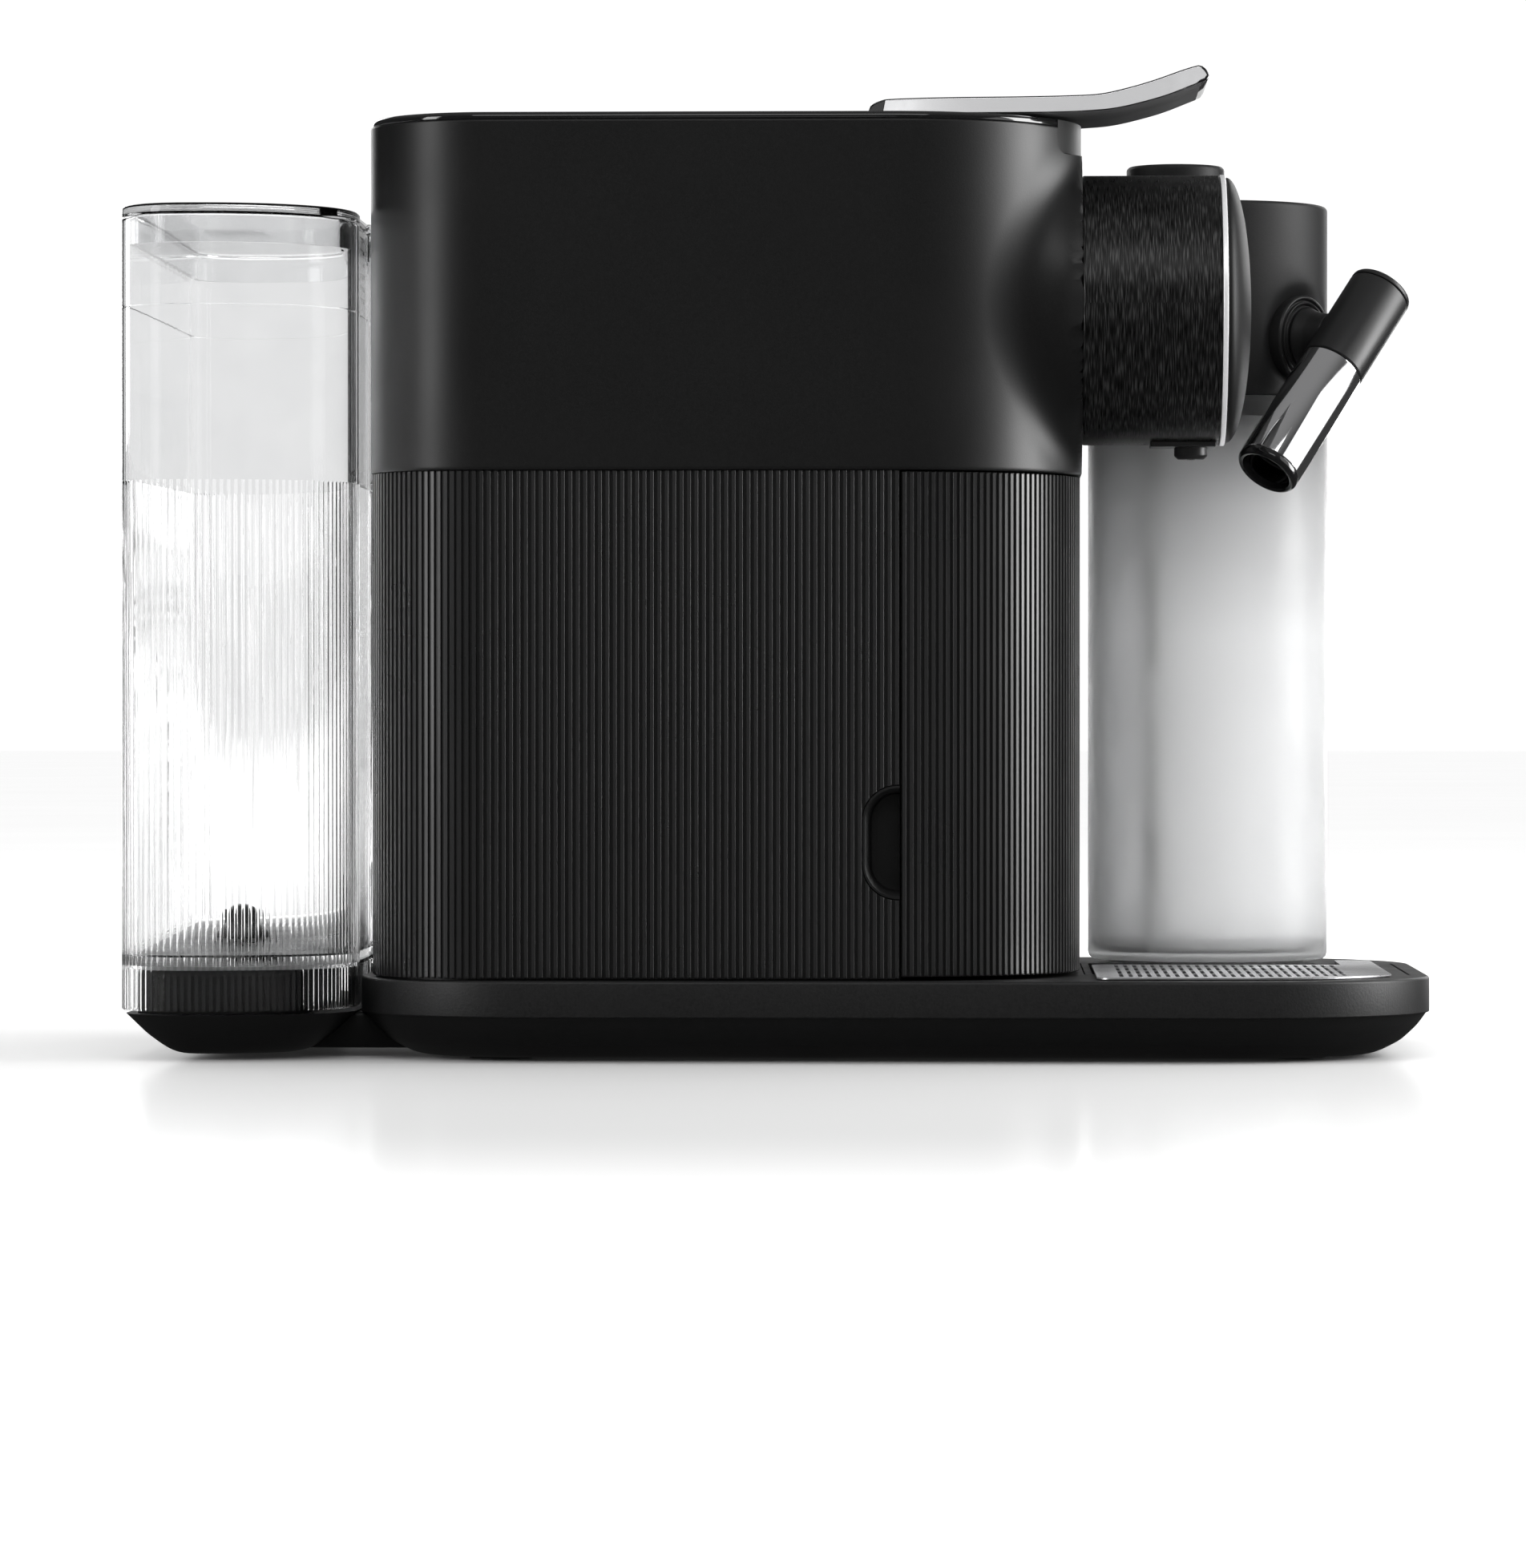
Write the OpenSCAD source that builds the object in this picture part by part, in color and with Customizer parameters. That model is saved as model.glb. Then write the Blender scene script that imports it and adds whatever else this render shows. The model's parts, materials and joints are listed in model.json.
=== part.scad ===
// Pod coffee machine with lift-off water tank and docked milk frother jug.
// +X is the front, -Y the near side with the brew head, +Z up, millimetres.
// The part stands on Z = 0; its box is centred on X = 0 and Y = 0.

/* [Overall] */
// Length of the base from tank to drip tray front
machine_l = 367; // [360:1:374]
// Width over the base deck
machine_w = 203; // [200:0.5:206]
// Height of the closed top cover above the counter
cover_z = 263.1; // [262:0.1:264]

/* [Casing] */
// Moulded wall thickness of the casing shells
wall = 2.5; // [2:0.1:3]
// Corner radius at the rear of the casing
casing_rr = 35; // [30:1:40]
// Corner radius at the front of the casing
casing_rf = 55; // [50:1:58]
// Height of the seam between ribbed lower shell and plain upper shell
seam_z = 164; // [160:0.5:166]

/* [Water tank] */
// Wall thickness of the tank
tank_wall = 2; // [1.6:0.1:2.4]
// Height of the tank rim
tank_rim_z = 235.2; // [234.5:0.1:235.4]

/* [Brew head] */
// Radius of the brew barrel
barrel_r = 38; // [36:0.5:38.5]
// Height of the barrel axis
barrel_z = 210.6; // [209:0.2:212]

/* [Milk jug] */
// Corner radius of the jug
jug_r = 35; // [32:0.5:35]
// Wall thickness of the container
jug_wall = 2; // [1.6:0.1:2.4]

/* [Spout] */
// Outer radius of the milk spout
spout_r = 9.45; // [9.2:0.05:9.6]

/* [Hidden] */

ox0 = -machine_l / 2;              // rear of the tank
ox1 = machine_l / 2;               // front of the deck
hw = machine_w / 2;
bx0 = -114.7; bx1 = 85.2; by = 98.5; // casing
deck_x0 = -118.5;
deck_z0 = 12.7; deck_z1 = 22.8;
shell_z0 = 23.4;
cover_z0 = cover_z - 2.1;
tx1 = -119; ty = 97;               // tank front and half width
head_y = -49.5;                    // brew head centre line
jx0 = 88.7; jx1 = 159.4; jy0 = 17; jy1 = 97; jug_z0 = 24; jug_z1 = 190;
pivot = [31, 0, 260.5];            // lever axis
eps = 0.01;

// spout frame: boss direction b, spout direction a (down), S0 on the spout axis
B0 = [151.6, 30.0, 206.7];
S0 = [164.8, 19.3, 206.7];
boss_az = -39;                     // heading of the boss direction in plan
spout_dir = [-0.487, -0.434, -0.758];

$fn = 64;

// ---------- helpers ----------
function arc(cx, cy, r, a0, a1, n) = [for (i = [0:n]) let (t = a0 + (a1 - a0) * i / n) [cx + r * cos(t), cy + r * sin(t)]];
function rrect(x0, y0, x1, y1, rr, rf, n = 10) = concat(
  arc(x1 - rf, y0 + rf, rf, -90, 0, n), arc(x1 - rf, y1 - rf, rf, 0, 90, n),
  arc(x0 + rr, y1 - rr, rr, 90, 180, n), arc(x0 + rr, y0 + rr, rr, 180, 270, n));
function casing(i = 0, n = 12) = rrect(bx0 + i, -by + i, bx1 - i, by - i, casing_rr - i, casing_rf - i, n);
function deck(i = 0, n = 12) = rrect(deck_x0 + i, -hw + i, ox1 - i, hw - i, max(50 - i, 4), max(56 - i, 4), n);
function jug(i = 0, n = 10) = rrect(jx0 + i, jy0 + i, jx1 - i, jy1 - i, jug_r - i, jug_r - i, n);
// tank plan: big front corners, shallow recess either side of a central spine
function tank_half(i, n) = concat(
  arc(ox0 + 20, -ty + 20, 20 - i, 180, 270, n), arc(tx1 - 40, -ty + 40, 40 - i, -90, 0, n),
  [[tx1 - i, -52 - i], [tx1 - 8 - i, -50 - i], [tx1 - 8 - i, -10 + i], [tx1 - i, -8 + i]]);
function flip(p) = [for (k = [len(p) - 1:-1:0]) [p[k][0], -p[k][1]]];
function tank_plan(i = 0, n = 8) = concat(tank_half(i, n), flip(tank_half(i, n)));
function unit(v) = v / norm(v);
function chaikin(p) = concat([p[0]], [for (i = [0:len(p) - 2]) each [p[i] * 0.75 + p[i + 1] * 0.25, p[i] * 0.25 + p[i + 1] * 0.75]], [p[len(p) - 1]]);
function smooth2(p) = chaikin(chaikin(p));

module prism(pts, z0, z1) { translate([0, 0, z0]) linear_extrude(height = z1 - z0) polygon(pts); }
module box(x0, x1, y0, y1, z0, z1) { translate([x0, y0, z0]) cube([x1 - x0, y1 - y0, z1 - z0]); }
module ring(r1, r0, h) { difference() { cylinder(r = r1, h = h); translate([0, 0, -1]) cylinder(r = r0, h = h + 2); } }
module along_x(x, y, z) { translate([x, y, z]) rotate([0, 90, 0]) children(); }
// a solid swept along a list of points
module sweep(p, r, n = 8, ref = [0.31, 0.52, 0.8]) {
  m = len(p);
  t = [for (i = [0:m - 1]) unit(i == 0 ? p[1] - p[0] : i == m - 1 ? p[m - 1] - p[m - 2] : p[i + 1] - p[i - 1])];
  pts = [for (i = [0:m - 1]) let (u = unit(cross(t[i], ref)), v = cross(t[i], u)) for (j = [0:n - 1]) p[i] + r * (cos(360 * j / n) * u + sin(360 * j / n) * v)];
  faces = concat([[for (j = [0:n - 1]) j]],
    [for (i = [0:m - 2]) for (j = [0:n - 1]) [i * n + j, (i + 1) * n + j, (i + 1) * n + (j + 1) % n, i * n + (j + 1) % n]],
    [[for (j = [n - 1:-1:0]) (m - 1) * n + j]]);
  polyhedron(points = pts, faces = faces, convexity = 6);
}
function helix(r, pitch, turns, per = 14) = [for (k = [0:turns * per]) [r * cos(360 * k / per), r * sin(360 * k / per), pitch * k / per]];
// moves children from a Z-up frame to the boss direction, at distance s from the head surface
module on_boss(s) { translate(B0 + s * [cos(boss_az), sin(boss_az), 0]) rotate([0, 90, boss_az]) children(); }
// moves children from a Z-up frame to the spout axis, at distance s below S0
module on_spout(s) { translate(S0 + s * spout_dir) rotate([0, acos(spout_dir[2]), atan2(spout_dir[1], spout_dir[0])]) children(); }

// ---------- base ----------
// boat-shaped bottom: list of [z, inset] levels of an outline
module boat(x0, x1, hy, rr, rf, levels) {
  hull() for (l = levels) translate([0, 0, l[0]]) linear_extrude(height = 0.02)
    polygon(rrect(x0 + l[1], -hy + l[1], x1 - l[1], hy - l[1], max(rr - l[1], 8), max(rf - l[1], 8), 7));
}
foot_xy = [[146, 58], [146, -58], [-78, 66], [-78, -66]];
screw_xy = [[120, 72], [120, -72], [20, 76], [20, -76], [-70, 40], [-70, -40], [-158, 50], [-158, -50]];

module base_hull() {
  color([0.06, 0.06, 0.065]) difference() {
    union() {
      boat(deck_x0 + 0.5, ox1, hw, 50, 56, [[0.8, 19], [1.6, 14.4], [4.7, 8], [9, 3], [deck_z0 - 0.02, 0]]);
      boat(ox0 + 0.5, -118.7, ty - 0.5, 20, 38, [[1.5, 19.5], [2.2, 14], [4, 10.6], [7.4, 6], [12.98, 0]]);
      box(-139, -100, -60, 60, 2.4, deck_z0);
    }
    boat(deck_x0 + 3.5, ox1 - 3, hw - 3, 47, 53, [[3.4, 17], [5.6, 8], [9, 3.2], [deck_z0 + 1, 0]]);
    boat(ox0 + 3.5, -121.7, ty - 3.5, 17, 35, [[4.4, 14], [7.4, 6], [14, 0]]);
    box(-128, -104, -57, 57, 5, 14);
    for (f = foot_xy) translate([f[0], f[1], -1]) cylinder(r = 9, h = 2.6);
    for (s = screw_xy) translate([s[0], s[1], -1]) { cylinder(r = 3.4, h = 5.4); cylinder(r = 1.7, h = 9); }
  }
}

module base_deck() {
  color([0.13, 0.13, 0.135]) difference() {
    union() {
      difference() {
        prism(deck(), deck_z0, deck_z1);
        prism(deck(3), deck_z0 - 1, deck_z1 - 3);
      }
      // walls of the drip pan pocket
      box(86, 180, -48.3, -45.3, deck_z0, deck_z1 - 3);
      box(86, 180, 45.3, 48.3, deck_z0, deck_z1 - 3);
      box(83, 86, -48.3, 48.3, deck_z0, deck_z1 - 3);
      // pocket floor
      box(83, 178, -48.3, 48.3, deck_z0, deck_z0 + 1.2);
      // raised rest for the jug
      prism(rrect(94, 56, 154, 92, 18, 18, 6), deck_z1 - 1, 23.7);
      for (s = screw_xy) if (s[0] > deck_x0) translate([s[0], s[1], deck_z0]) cylinder(r = 4, h = 8);
    }
    box(86, 190, -45.3, 45.3, deck_z0 + 1.2, deck_z1 + 5);
    box(178, 190, -45.3, 45.3, deck_z0 - 1, deck_z1 + 5);
    for (s = screw_xy) translate([s[0], s[1], deck_z0 - 1]) cylinder(r = 1.5, h = 7);
    translate([-92, 0, deck_z0]) cylinder(r = 4, h = 20);
  }
}

module rubber_feet() { color([0.03, 0.03, 0.03]) for (f = foot_xy) translate([f[0], f[1], 0]) { cylinder(r = 8.9, h = 1.6); } }

module hull_screws() {
  color([0.7, 0.7, 0.72]) for (s = screw_xy) translate([s[0], s[1], 2.4]) difference() {
    union() { cylinder(r = 3, h = 2); translate([0, 0, 1]) cylinder(r = 1.45, h = 13); }
    translate([0, 0, -1]) cylinder(r = 1.6, h = 2, $fn = 6);
  }
}

module tank_plinth() {
  color([0.05, 0.05, 0.055]) difference() {
    prism(rrect(-179.5, -90, -131, 90, 16, 20, 6), 13, 26);
    prism(rrect(-177, -87.5, -133.5, 87.5, 14, 18, 6), 12, 23.5);
    translate([-158, 0, 10]) cylinder(r = 8.2, h = 20);
    for (y = [-50, 50]) translate([-158, y, 12]) cylinder(r = 1.5, h = 6);
  }
  color([0.05, 0.05, 0.055]) translate([-158, 0, 13]) difference() { cylinder(r = 12, h = 11); translate([0, 0, -1]) cylinder(r = 8.2, h = 14); }
  color([0.05, 0.05, 0.055]) for (y = [-50, 50]) translate([-158, y, 13]) ring(4, 1.5, 10.6);
}

module tank_dock_seal() { color([0.1, 0.1, 0.1]) translate([-158, 0, 14]) ring(8.2, 3.2, 2.2); }

module tank_dock_pipe() {
  color([0.8, 0.8, 0.8]) { translate([-158, 0, 6]) ring(3.2, 2, 13.5); translate([-158, 0, 8]) ring(6, 3.2, 2); }
}

// ---------- casing ----------
finger = [23.9, 34.5, 45.1, 77.1];   // x0, x1, z0, z1 of the finger recess
// D outline in X and Z, straight on the drawer side
function d_plan(i) = concat([[finger[1] + 1, finger[2] + i], [finger[1] + 1, finger[3] - i]],
  arc(finger[0] + 10, finger[3] - 10, 10 - i, 90, 180, 6), arc(finger[0] + 10, finger[2] + 10, 10 - i, 180, 270, 6));
// extrudes an X-Z outline along Y from y0 to y1
module slab_y(pts, y0, y1) { translate([0, y1, 0]) rotate([90, 0, 0]) linear_extrude(height = y1 - y0) polygon(pts); }

module lower_shell() {
  color([0.1, 0.1, 0.105]) {
    difference() {
      union() { prism(casing(0.4), shell_z0, seam_z); prism(casing(2), deck_z1, shell_z0); }
      prism(casing(0.4 + wall), shell_z0 + 3, seam_z + 1);
      // drawer opening
      box(finger[1], 100, -110, 12, shell_z0 - 1, seam_z + 1);
      slab_y(d_plan(0), -110, -94);
      translate([-125, 70, 40]) rotate([0, 90, 0]) cylinder(r = 7, h = 20);
      translate([-92, 0, deck_z0]) cylinder(r = 4, h = 20);
    }
    // cup of the finger recess
    difference() {
      slab_y(d_plan(0), -97.6, -90);
      slab_y(d_plan(1.5), -110, -91.5);
      box(finger[1], 60, -110, -80, 40, 90);
    }
    // front wall return and partition beside the drawer bay
    box(-26, 84, 12.3, 14.3, shell_z0 + 3, 160);
    box(-26, -24, -94, 12.3, shell_z0 + 3, 110);
  }
}

// block behind the tank that steadies its central spine
module tank_stop() { color([0.04, 0.04, 0.04]) difference() { box(-118.5, bx0 + 0.4, -9, 9, 24, 32); box(-117.3, bx0 + 1, -7.5, 7.5, 25.5, 30.5); } }

module rear_panel_cut(d) { box(bx0 - 5, bx0 + d, -62, 62, 213.7, 256.7); }

module upper_shell() {
  color([0.1, 0.1, 0.105]) difference() {
    union() {
      prism(casing(0), seam_z, cover_z0);
      // neck that carries the brew barrel past the rounded corner
      along_x(58, head_y, barrel_z) cylinder(r = barrel_r - 0.2, h = bx1 - 58, $fn = 96);
    }
    prism(casing(wall), seam_z - 1, cover_z0 + 1);
    // way through to the brew group
    along_x(50, head_y, barrel_z) cylinder(r = 30, h = 60);
    along_x(60, 57, 215) cylinder(r = 9, h = 60);
    box(50, 100, -70, -29, 253.7, cover_z + 1);
    rear_panel_cut(0.8);
    for (y = [-50, 50]) along_x(bx0 - 5, y, 235) cylinder(r = 1.6, h = 20);
  }
}

module rear_panel() {
  color([0.09, 0.09, 0.095]) {
    difference() {
      box(bx0 + 0.2, bx0 + 0.8, -61.6, 61.6, 214.1, 256.3);
      for (k = [0:9]) box(bx0 - 1, bx0 + 5, -40, 40, 218 + k * 3.6, 219.4 + k * 3.6);
    }
    for (y = [-50, 50]) along_x(bx0 + 0.6, y, 235) cylinder(r = 1.55, h = 5);
  }
}

module top_cover() {
  color([0.05, 0.05, 0.05]) difference() {
    union() {
      prism(casing(0.3), cover_z0, cover_z);
      prism(casing(wall + 0.1), cover_z0 - 2.5, cover_z0);
    }
    prism(casing(wall + 2), cover_z0 - 4, cover_z0);
    box(21, 42, -80.1, -18.9, cover_z0 - 5, cover_z + 1);
    box(41, 100, -70, -29, cover_z0 - 5, cover_z + 1);
    box(18, 74, -4, 84, cover_z - 1, cover_z + 1);
  }
}

module touch_panel() { color([0.02, 0.02, 0.02]) prism(rrect(18.2, -3.8, 73.8, 83.8, 3, 3, 4), cover_z - 1, cover_z - 0.05); }

// insert under the lever: hinge well at the rear, capsule slot at the front
module slot_frame() {
  color([0.07, 0.07, 0.07]) difference() {
    union() {
      box(21.2, 41.8, -79.9, -19.1, 250.5, cover_z - 0.2);
      intersection() {
        box(41.8, 100, -69.8, -29.2, 253.9, cover_z - 0.2);
        prism(casing(0.15), 240, 270);
      }
      // chute down to the brew chamber
      box(50, 75, -69.8, -29.2, 236, 254);
    }
    box(22.8, 40.2, -78.3, -20.7, 252.2, 270);
    box(52, 73.5, -68, -31, 230, 270);
    // clearance for the lever crank
    box(0, 45, -54, -45, 240, 260.6);
    // relief under the lever, front of the slot
    box(40, 52, -68, -31, cover_z - 3, 270);
    translate([pivot[0], -90, pivot[2]]) rotate([-90, 0, 0]) cylinder(r = 1.52, h = 80);
  }
}

module cord_gland() { color([0.03, 0.03, 0.03]) { along_x(bx0 - 1.6, 70, 40) ring(8.4, 3.6, 2); along_x(bx0 + 0.4, 70, 40) ring(6.95, 3.6, 8); } }

// ---------- brew head ----------
module brew_barrel() {
  color([0.12, 0.12, 0.125]) difference() {
    along_x(bx1, head_y, barrel_z) cylinder(r = barrel_r, h = 124 - bx1, $fn = 96);
    along_x(bx1 + 3, head_y, barrel_z) cylinder(r = barrel_r - 3, h = 72, $fn = 96);
    along_x(60, head_y, barrel_z) cylinder(r = 30, h = 40, $fn = 96);
    translate([116, head_y, 165]) cylinder(r = 4.9, h = 14);
  }
}
module barrel_ring() { color([0.85, 0.85, 0.86]) along_x(124, head_y, barrel_z) ring(barrel_r + 0.2, barrel_r - 5, 1.4); }
module barrel_face() {
  color([0.14, 0.14, 0.145]) along_x(125.4, head_y, barrel_z) rotate_extrude($fn = 96)
    polygon(concat([[0, 0]], [for (k = [0:12]) let (r = (barrel_r - 0.4) * cos(90 * k / 12)) [max(r, 0), 0.8 + 6.8 * sin(90 * k / 12)]]));
}
module coffee_outlet() {
  color([0.04, 0.04, 0.04]) translate([116, head_y, 0]) {
    difference() {
      union() {
        translate([0, 0, 169.5]) cylinder(r = 4.7, h = 8);
        translate([0, 0, 168.5]) cylinder(r1 = 3.9, r2 = 4.7, h = 1);
      }
      for (s = [-1, 1]) translate([0, s * 1.9, 165]) cylinder(r = 1.2, h = 14);
    }
  }
  color([0.04, 0.04, 0.04]) translate([84.5, head_y, 187]) rotate([0, 90, 0]) cylinder(r = 3, h = 34.5);
  color([0.04, 0.04, 0.04]) translate([116, head_y, 177.5]) cylinder(r = 2.9, h = 10);
}
module milk_dock() {
  color([0.25, 0.25, 0.26]) { along_x(60, 57, 215) ring(8.95, 5.9, 25.2); along_x(72, 57, 215) ring(11, 8.95, 3.6); }
}
module milk_dock_seal() { color([0.5, 0.1, 0.08]) along_x(62, 57, 215) ring(5.9, 3.1, 4); }

// ---------- brew group inside ----------
module brew_frame() {
  color([0.6, 0.6, 0.62]) difference() {
    union() {
      box(-20, 68, -76.5, -73.5, 182, 234);
      box(68, 76, -76.5, -73.5, 201, 220);
      box(-20, 68, -25.5, -22.5, 182, 234);
      box(68, 76, -25.5, -22.5, 201, 220);
      box(-24, -20, -76.5, -22.5, 182, 234);
      box(0, 40, -73.6, -25.4, 182, 188);
      box(-22, -14, -25.5, -16, 160, 200);
    }
    along_x(-30, head_y, barrel_z) cylinder(r = 6.3, h = 20);
    along_x(-1, head_y, barrel_z) cylinder(r = 23.3, h = 60);
  }
}
module brew_plate() {
  color([0.75, 0.75, 0.77]) difference() {
    along_x(76, head_y, barrel_z) cylinder(r = 29.4, h = 8.5);
    along_x(70, head_y, barrel_z) cylinder(r = 2, h = 20);
    for (a = [0:60:300]) translate([0, head_y + 10 * cos(a), barrel_z + 10 * sin(a)]) along_x(70, 0, 0) cylinder(r = 1.2, h = 20);
  }
}
module brew_piston() {
  color([0.5, 0.5, 0.52]) difference() {
    union() {
      along_x(2, head_y, barrel_z) cylinder(r = 23, h = 71.5);
      along_x(-34, head_y, barrel_z) cylinder(r = 6, h = 40);
      // lug that takes the toggle link from the lever crank
      difference() { box(4, 16, -53, -46, 231, 239); translate([10, -60, 236]) rotate([-90, 0, 0]) cylinder(r = 1.6, h = 20); }
    }
    along_x(48, head_y, barrel_z) cylinder(r1 = 14, r2 = 18, h = 30);
    along_x(-40, head_y, barrel_z) cylinder(r = 2, h = 100);
    along_x(42, head_y, barrel_z) difference() { cylinder(r = 24, h = 4); translate([0, 0, -1]) cylinder(r = 20.5, h = 6); }
  }
}
module piston_seal() { color([0.1, 0.1, 0.1]) along_x(42.2, head_y, barrel_z) ring(22.9, 20.5, 3.6); }
module thermoblock() {
  color([0.72, 0.72, 0.74]) {
    difference() {
      union() {
        prism(rrect(-92, 22, -22, 80, 10, 10, 5), 150, 190);
        for (k = [0:6]) box(-84 + k * 9, -81 + k * 9, 26, 76, 190, 198);
      }
      translate([-70, 51, 140]) cylinder(r = 2.4, h = 30);
      along_x(-40, 62, 170) cylinder(r = 2.4, h = 40);
      along_x(-40, 40, 170) cylinder(r = 2.4, h = 40);
      for (x = [-86, -28], y = [30, 72]) translate([x, y, 148]) cylinder(r = 2, h = 12);
    }
    along_x(-22, 40, 170) ring(4.5, 2.4, 8);
    along_x(-22, 62, 170) ring(4.5, 2.4, 8);
  }
}
module thermoblock_straps() {
  color([0.55, 0.55, 0.57]) for (x = [-86, -28]) {
    box(x - 5, x + 5, 26, 76, 148, 150);
    for (y = [26, 74]) box(x - 5, x + 5, y, y + 2, 26.4, 148);
  }
}
module water_pump() {
  color([0.75, 0.6, 0.25]) along_x(-70, 51, 66) cylinder(r = 17, h = 42);
  color([0.2, 0.2, 0.2]) {
    along_x(-74, 51, 66) cylinder(r = 19, h = 4);
    along_x(-28, 51, 66) cylinder(r = 19, h = 4);
    along_x(-24, 51, 66) ring(5, 2, 16);
    along_x(-90, 51, 66) ring(5, 2, 16);
  }
}
module pump_mounts() {
  color([0.08, 0.08, 0.08]) for (x = [-84, -20]) difference() {
    box(x - 3, x + 3, 40, 62, 26.4, 78);
    along_x(x - 5, 51, 66) cylinder(r = 5, h = 10);
  }
}
module flow_meter() {
  color([0.85, 0.85, 0.85]) translate([-92, 0, 26.4]) { cylinder(r = 13, h = 16); translate([0, 0, 16]) cylinder(r = 4, h = 6); }
}
module control_board() {
  color([0.05, 0.3, 0.12]) box(-80, 30, 88, 89.6, 70, 150);
  color([0.1, 0.1, 0.1]) { box(-60, -30, 82, 88, 90, 120); box(-10, 0, 80, 88, 84, 104); box(8, 24, 84, 88, 110, 140); }
  color([0.75, 0.6, 0.2]) translate([-70, 88, 80]) rotate([90, 0, 0]) cylinder(r = 4, h = 12);
}
module board_posts() {
  color([0.1, 0.1, 0.1]) for (x = [-74, 24], z = [76, 144]) translate([x, 89.6, z]) rotate([-90, 0, 0]) cylinder(r = 3, h = 6);
}
hose_a = [[-152, 0, 9.2], [-140, 0, 9.2], [-112, 0, 9.2], [-98, 0, 10], [-92, 0, 15], [-92, 0, 26.4]];
hose_b = [[-92, 0, 48.4], [-92, 0, 56], [-98, 20, 64], [-100, 44, 66], [-96, 51, 66], [-90, 51, 66]];
hose_c = [[-8, 51, 66], [0, 51, 66], [6, 56, 72], [6, 62, 100], [2, 58, 130], [-20, 44, 142], [-52, 48, 142], [-70, 51, 142], [-70, 51, 150]];
module water_hoses() {
  color([0.9, 0.9, 0.88]) { sweep(smooth2(hose_a), 2.4, 8); sweep(smooth2(hose_b), 3, 8); sweep(smooth2(hose_c), 3, 8); }
}
hose_s = [[-14, 40, 170], [-4, 40, 170], [8, 44, 176], [24, 50, 196], [36, 56, 210], [46, 57, 215], [60, 57, 215]];
hose_w = [[-14, 62, 170], [-2, 62, 172], [26, 68, 184], [56, 62, 190], [70, 34, 206], [78, 10, 220], [79.5, -8, 222], [79.5, -21.1, 222]];
module steam_hose() {
  color([0.85, 0.85, 0.8]) { sweep(smooth2(hose_s), 3, 8); sweep(smooth2(hose_w), 2.6, 8); }
}

// ---------- lever ----------
lever_top_line = [[25.3, 264], [26.2, 266.4], [28.9, 267.7], [32.5, 268.2], [47, 268.6], [68.9, 268.8], [83.4, 269.1], [90.6, 269.6],
  [97.9, 271.2], [105.1, 273.3], [112.5, 275.9], [116.1, 277.1], [117.9, 277.3], [119.7, 275.9], [120.3, 274.4]];
lever_bottom_line = [[119.4, 273.1], [116.1, 271.8], [108.9, 269], [101.6, 266.9], [94.3, 265.3], [87, 264.6], [76.1, 264.2], [54.3, 264.1], [28.9, 264]];
lever_outline = concat(lever_top_line, lever_bottom_line);
ly0 = head_y - 28; ly1 = head_y + 28;
// region of the lever between two stations along X
module lever_slice(x0, x1, y0, y1) { intersection() { slab_y(lever_outline, y0, y1); box(x0, x1, y0 - 1, y1 + 1, 240, 300); } }
module lever_frame() {
  color([0.85, 0.85, 0.86]) {
    difference() {
      union() {
        lever_slice(29.2, 140, ly0, ly1);
        translate([pivot[0], ly0 + 0.2, pivot[2]]) rotate([-90, 0, 0]) cylinder(r = 4, h = 55.6);
        box(29.2, 34.6, ly0 + 0.2, ly1 - 0.2, 261, 265);
      }
      difference() {
        intersection() { box(36, 114, ly0 + 4, ly1 - 4, 240, 300); slab_y([[36, 240], [114, 240], [114, 300], [36, 300]], ly0, ly1); }
        // web between top and underside panels
        lever_web();
      }
      translate([pivot[0], -90, pivot[2]]) rotate([-90, 0, 0]) cylinder(r = 1.55, h = 80);
    }
    // crank that drives the toggle link
    difference() {
      translate([pivot[0], -51.5, pivot[2]]) rotate([0, -210, 0]) translate([0, 0, -3.5]) cube([21, 4, 7]);
      translate([pivot[0], -90, pivot[2]]) rotate([-90, 0, 0]) cylinder(r = 3.9, h = 80);
      translate([pivot[0] - 16.5, -90, pivot[2] - 9.5]) rotate([-90, 0, 0]) cylinder(r = 1.6, h = 80);
    }
  }
}
// thin middle sheet following the lever, between its two panels
function mid_line(dz) = [for (p = [[36, 266.2], [47, 266.4], [68.9, 266.5], [83.4, 266.8], [90.6, 267.4], [97.9, 268.7], [105.1, 270.6], [114, 273.6]]) [p[0], p[1] + dz]];
module lever_web() { slab_y(concat(mid_line(0.6), [for (k = [7:-1:0]) mid_line(-0.6)[k]]), ly0, ly1); }
module lever_top() {
  color([0.03, 0.03, 0.03]) intersection() {
    lever_slice(36, 114, ly0 + 4, ly1 - 4);
    slab_y(concat([[36, 300]], mid_line(0.6), [[114, 300]]), ly0 + 4, ly1 - 4);
  }
}
module lever_underside() {
  color([0.35, 0.35, 0.35]) intersection() {
    lever_slice(36, 114, ly0 + 4, ly1 - 4);
    slab_y(concat([[36, 240]], mid_line(-0.6), [[114, 240]]), ly0 + 4, ly1 - 4);
  }
}
module lever_end_cap() { color([0.03, 0.03, 0.03]) lever_slice(20, 29.2, ly0, ly1); }
module lever_pin() { color([0.7, 0.7, 0.7]) translate([pivot[0], -79.9, pivot[2]]) rotate([-90, 0, 0]) cylinder(r = 1.5, h = 60.8); }

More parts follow.
